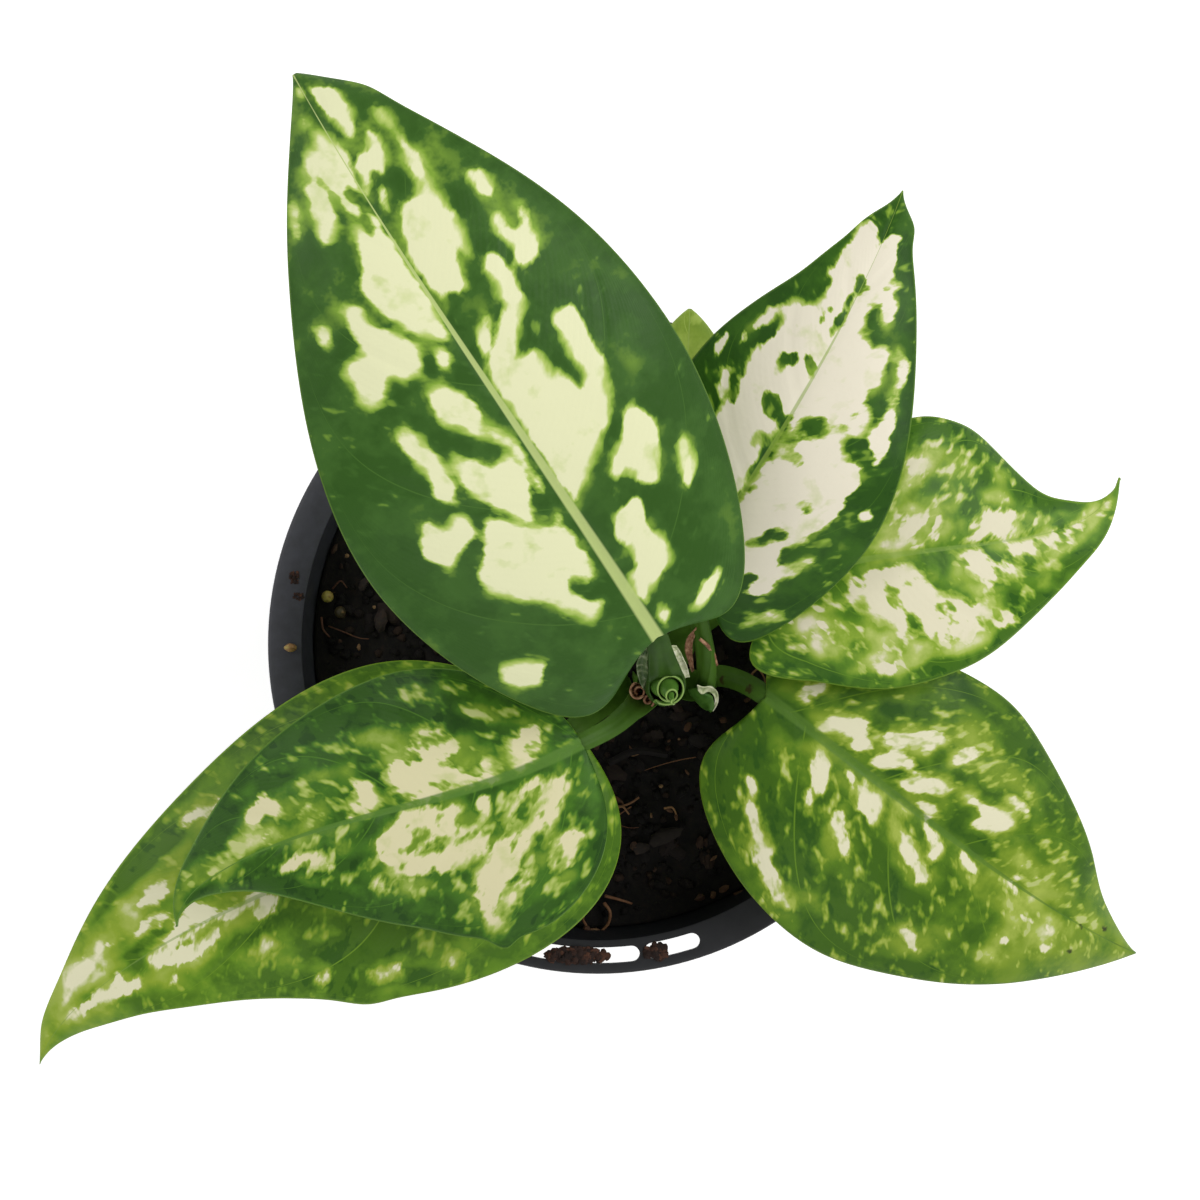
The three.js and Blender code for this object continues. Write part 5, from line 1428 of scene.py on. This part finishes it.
def fibre(start, bearing, length, bend, lift, radius):
    """One root or coir fibre on the mix: a line that bends steadily, arching up by its lift."""
    knots = 12
    share = np.linspace(0, 1, knots)
    directions = heading(bearing + bend * share) * length / (knots - 1)
    path = np.array([*start, 0.0]) + np.cumsum(directions, 0)
    path[:, 2] = soil_height(path[:, 0], path[:, 1]) + 0.7 + radius + lift * np.sin(np.pi * share)
    return tube(path, radius * (1 - 0.45 * share), 6)


def crumbs_and_chips():
    """Loose crumbs of peat all over the mix, and flat chips of bark among them."""
    points, faces, tone = scattered(1500, 63.0, 11, (0.5, 1.5), (1.0, 0.8, 0.6), 0.1)
    add_piece("peat_crumbs", points, faces, CRUMB, "potting_mix", ["soil"], {"tone": tone})
    points, faces, tone = scattered(150, 60.0, 12, (1.4, 3.4), (1.0, 0.55, 0.3), 0.0)
    add_piece("bark_chips", points, faces, BARK, "bark", ["soil"], {"tone": tone}, crease=35)


def coir_fibres():
    """Fibres laid by a seeded draw, then those that the photograph shows, each a tube along a smooth path."""
    draw = np.random.default_rng(13)
    parts, tones = [], []
    for _ in range(34):
        place = heading(draw.uniform(0, 360)) * 58 * np.sqrt(draw.uniform(0.05, 1))
        parts.append(fibre(place[:2], draw.uniform(0, 360), draw.uniform(5, 15), draw.uniform(-120, 120),
                           draw.uniform(0, 0.8), draw.uniform(0.14, 0.3)))
        tones.append(draw.uniform(0, 0.9))
    for knots, radius, tone in SOIL_FIBRES:
        path = np.array([on_photo(px, py, SEEN_LEVEL) for px, py, _ in knots])
        path[:, 2] = soil_height(path[:, 0], path[:, 1]) + [0.4 + rise for _, _, rise in knots]
        path = smooth_path(path, np.linspace(0, len(path) - 1, 14))
        parts.append(tube(path, radius * np.linspace(1, 0.7, 14), 7))
        tones.append(tone)
    tone = np.repeat(tones, [len(points) for points, _ in parts])
    add_piece("coir_fibres", *gathered(parts), FIBRE, "bark", (), {"tone": tone})


def soil_scraps():
    """The single scraps, each a rough lump lying flat on the mix."""
    px, py, length, width, height, bearing, tone = np.array(SOIL_SCRAPS).T
    x, y, _ = on_photo(px, py, SEEN_LEVEL)
    points, faces = laid_lumps(x, y, soil_height(x, y) + 1.5, np.stack([length, width, height], -1),
                               np.radians(bearing), np.random.default_rng(14))
    tone = np.repeat(tone, len(points) // len(px))
    add_piece("soil_scraps", points, faces, SCRAP, "bark", (), {"tone": tone}, crease=40)


def rim_spill():
    """Each spill is an oval heap of small lumps by a seeded draw, higher towards its middle."""
    draw = np.random.default_rng(15)
    parts, tones = [], []
    for px, py, wide, deep, count, scale in RIM_SPILLS:
        spread = heading(draw.uniform(0, 360, count)) * np.sqrt(draw.uniform(0, 1, count))[:, None]
        x, y, _ = on_photo(px + wide * spread[:, 0], py + deep * spread[:, 1], POT_HEIGHT)
        size = scale * (0.4 + 1.1 * draw.uniform(0, 1, count) ** 2)
        z = POT_HEIGHT + 0.2 * size + 1.1 * scale * (1 - np.linalg.norm(spread, axis=1))
        turn = draw.uniform(0, 2 * np.pi, count)
        parts.append(laid_lumps(x, y, z, size[:, None] * (1.4, 1.0, 0.55), turn, draw))
        tones.append(np.repeat(draw.uniform(0, 1, count) ** 1.5 * 0.75, len(parts[-1][0]) // count))
    add_piece("rim_spill", *gathered(parts), SPILL, "bark", (), {"tone": np.concatenate(tones)}, crease=40)


# Half lengths of the fertiliser grains in mm, along X, Y and Z, and their tone: the last is a worn, long one
# that narrows to one end.
GRAINS = {"grain_1": (1.42, 1.36, 1.4, 0.68), "grain_2": (1.3, 1.38, 1.3, 0.05),
          "grain_3": (1.5, 1.0, 1.2, 0.42)}


def grain_pieces():
    """Each grain is a ball stretched along its axes, its skin pushed in and out by noise, with a shallow
    dimple on one side. It sits where its solid does."""
    for seed, (name, (*half, tone)) in enumerate(GRAINS.items(), 300):
        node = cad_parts[name]
        corners = np.array([node.matrix_world @ vertex.co for vertex in node.data.vertices]) / MM
        middle = (corners.min(0) + corners.max(0)) / 2
        ball, faces = lump(18, 28)
        rough = 1 + 0.035 * clouds(ball[:, 0] * 3 + ball[:, 2], ball[:, 1] * 3 - ball[:, 2], 0.9, seed)
        rough -= 0.14 * np.exp(-((ball[:, 0] - 0.5) ** 2 + (ball[:, 1] + 0.4) ** 2) / 0.06) * (ball[:, 2] > 0)
        ball = ball * np.minimum(rough, 1.0)[:, None] * half
        if name == "grain_3":
            ball[:, 1:] *= 1 - 0.28 * smooth_step(0.0, -1.5, ball[:, :1])
        layers = {"tone": tone + 0.25 * clouds(ball[:, 0] * 2, ball[:, 1] * 2, 1.6, seed + 10)}
        add_piece(f"{name}_prill", ball + middle, faces, GRAIN_COAT, "fertiliser_grain", [name], layers)


# ---------------------------------------------------------------- camera, floor and light

def area_light(name, place, size, power):
    """A round soft light at this place in metres, turned to the plant."""
    lamp = bpy.data.lights.new(name, "AREA")
    lamp.shape, lamp.size, lamp.energy = "DISK", size, power
    holder = bpy.data.objects.new(name, lamp)
    bpy.context.scene.collection.objects.link(holder)
    holder.location = place
    holder.rotation_euler = (Vector(place) - Vector((0, 0, 0.12))).to_track_quat("Z", "Y").to_euler()


def studio():
    """The overhead camera, even light from all round, three soft lights and a pale floor."""
    scene = bpy.context.scene
    camera = bpy.data.cameras.new("overhead")
    camera.sensor_width, camera.lens = 36.0, 36.0 * FOCAL_PIXELS / FRAME_PIXELS
    holder = bpy.data.objects.new("overhead", camera)
    holder.location = np.array(CAMERA_AT) * MM
    scene.collection.objects.link(holder)
    scene.camera = holder

    scene.world = bpy.data.worlds.new("studio")
    scene.world.use_nodes = True
    sky = scene.world.node_tree.nodes["Background"]
    sky.inputs["Color"].default_value = (1, 1, 1, 1)
    sky.inputs["Strength"].default_value = 0.44
    area_light("softbox_right", (1.1, 0.4, 1.15), 1.1, 12.6)
    area_light("softbox_left", (-1.2, 0.4, 1.1), 1.1, 7.4)
    area_light("softbox_front", (0.1, -1.3, 1.2), 1.2, 4.6)

    # Its own faint light keeps the paper as even and white as in the photograph.
    side = 2000
    corners = [(-side, -side, 0), (side, -side, 0), (side, side, 0), (-side, side, 0)]
    floor = new_object("pale_floor", corners, [np.array([[0, 1, 2, 3]])], closed=False)
    floor.data.materials.append(mixed_material(
        "pale_paper", [(0.3, "#f6f6f6"), (0.7, "#fafafa")], 40.0, 0.9, 0.02,
        Emission_Color=(1, 1, 1, 1), Emission_Strength=0.43))
    floor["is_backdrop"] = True
    scene.view_settings.view_transform = "Standard"


studio()
pot_piece()
mix_piece()
crumbs_and_chips()
coir_fibres()
soil_scraps()
rim_spill()
cane_piece()
rolled_leaf_piece()
for number, (name, leaf) in enumerate(LEAVES.items(), 1):
    blade_piece(name, leaf, number)
    stalk_piece(name, leaf)
sheath_scraps()
dry_curls()
grain_pieces()
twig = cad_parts["twig"].data
twig.materials.clear()
twig.materials.append(BARK)

{"cad": [list(corner) for corner in cad_box], "visual": [list(corner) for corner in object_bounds()]}
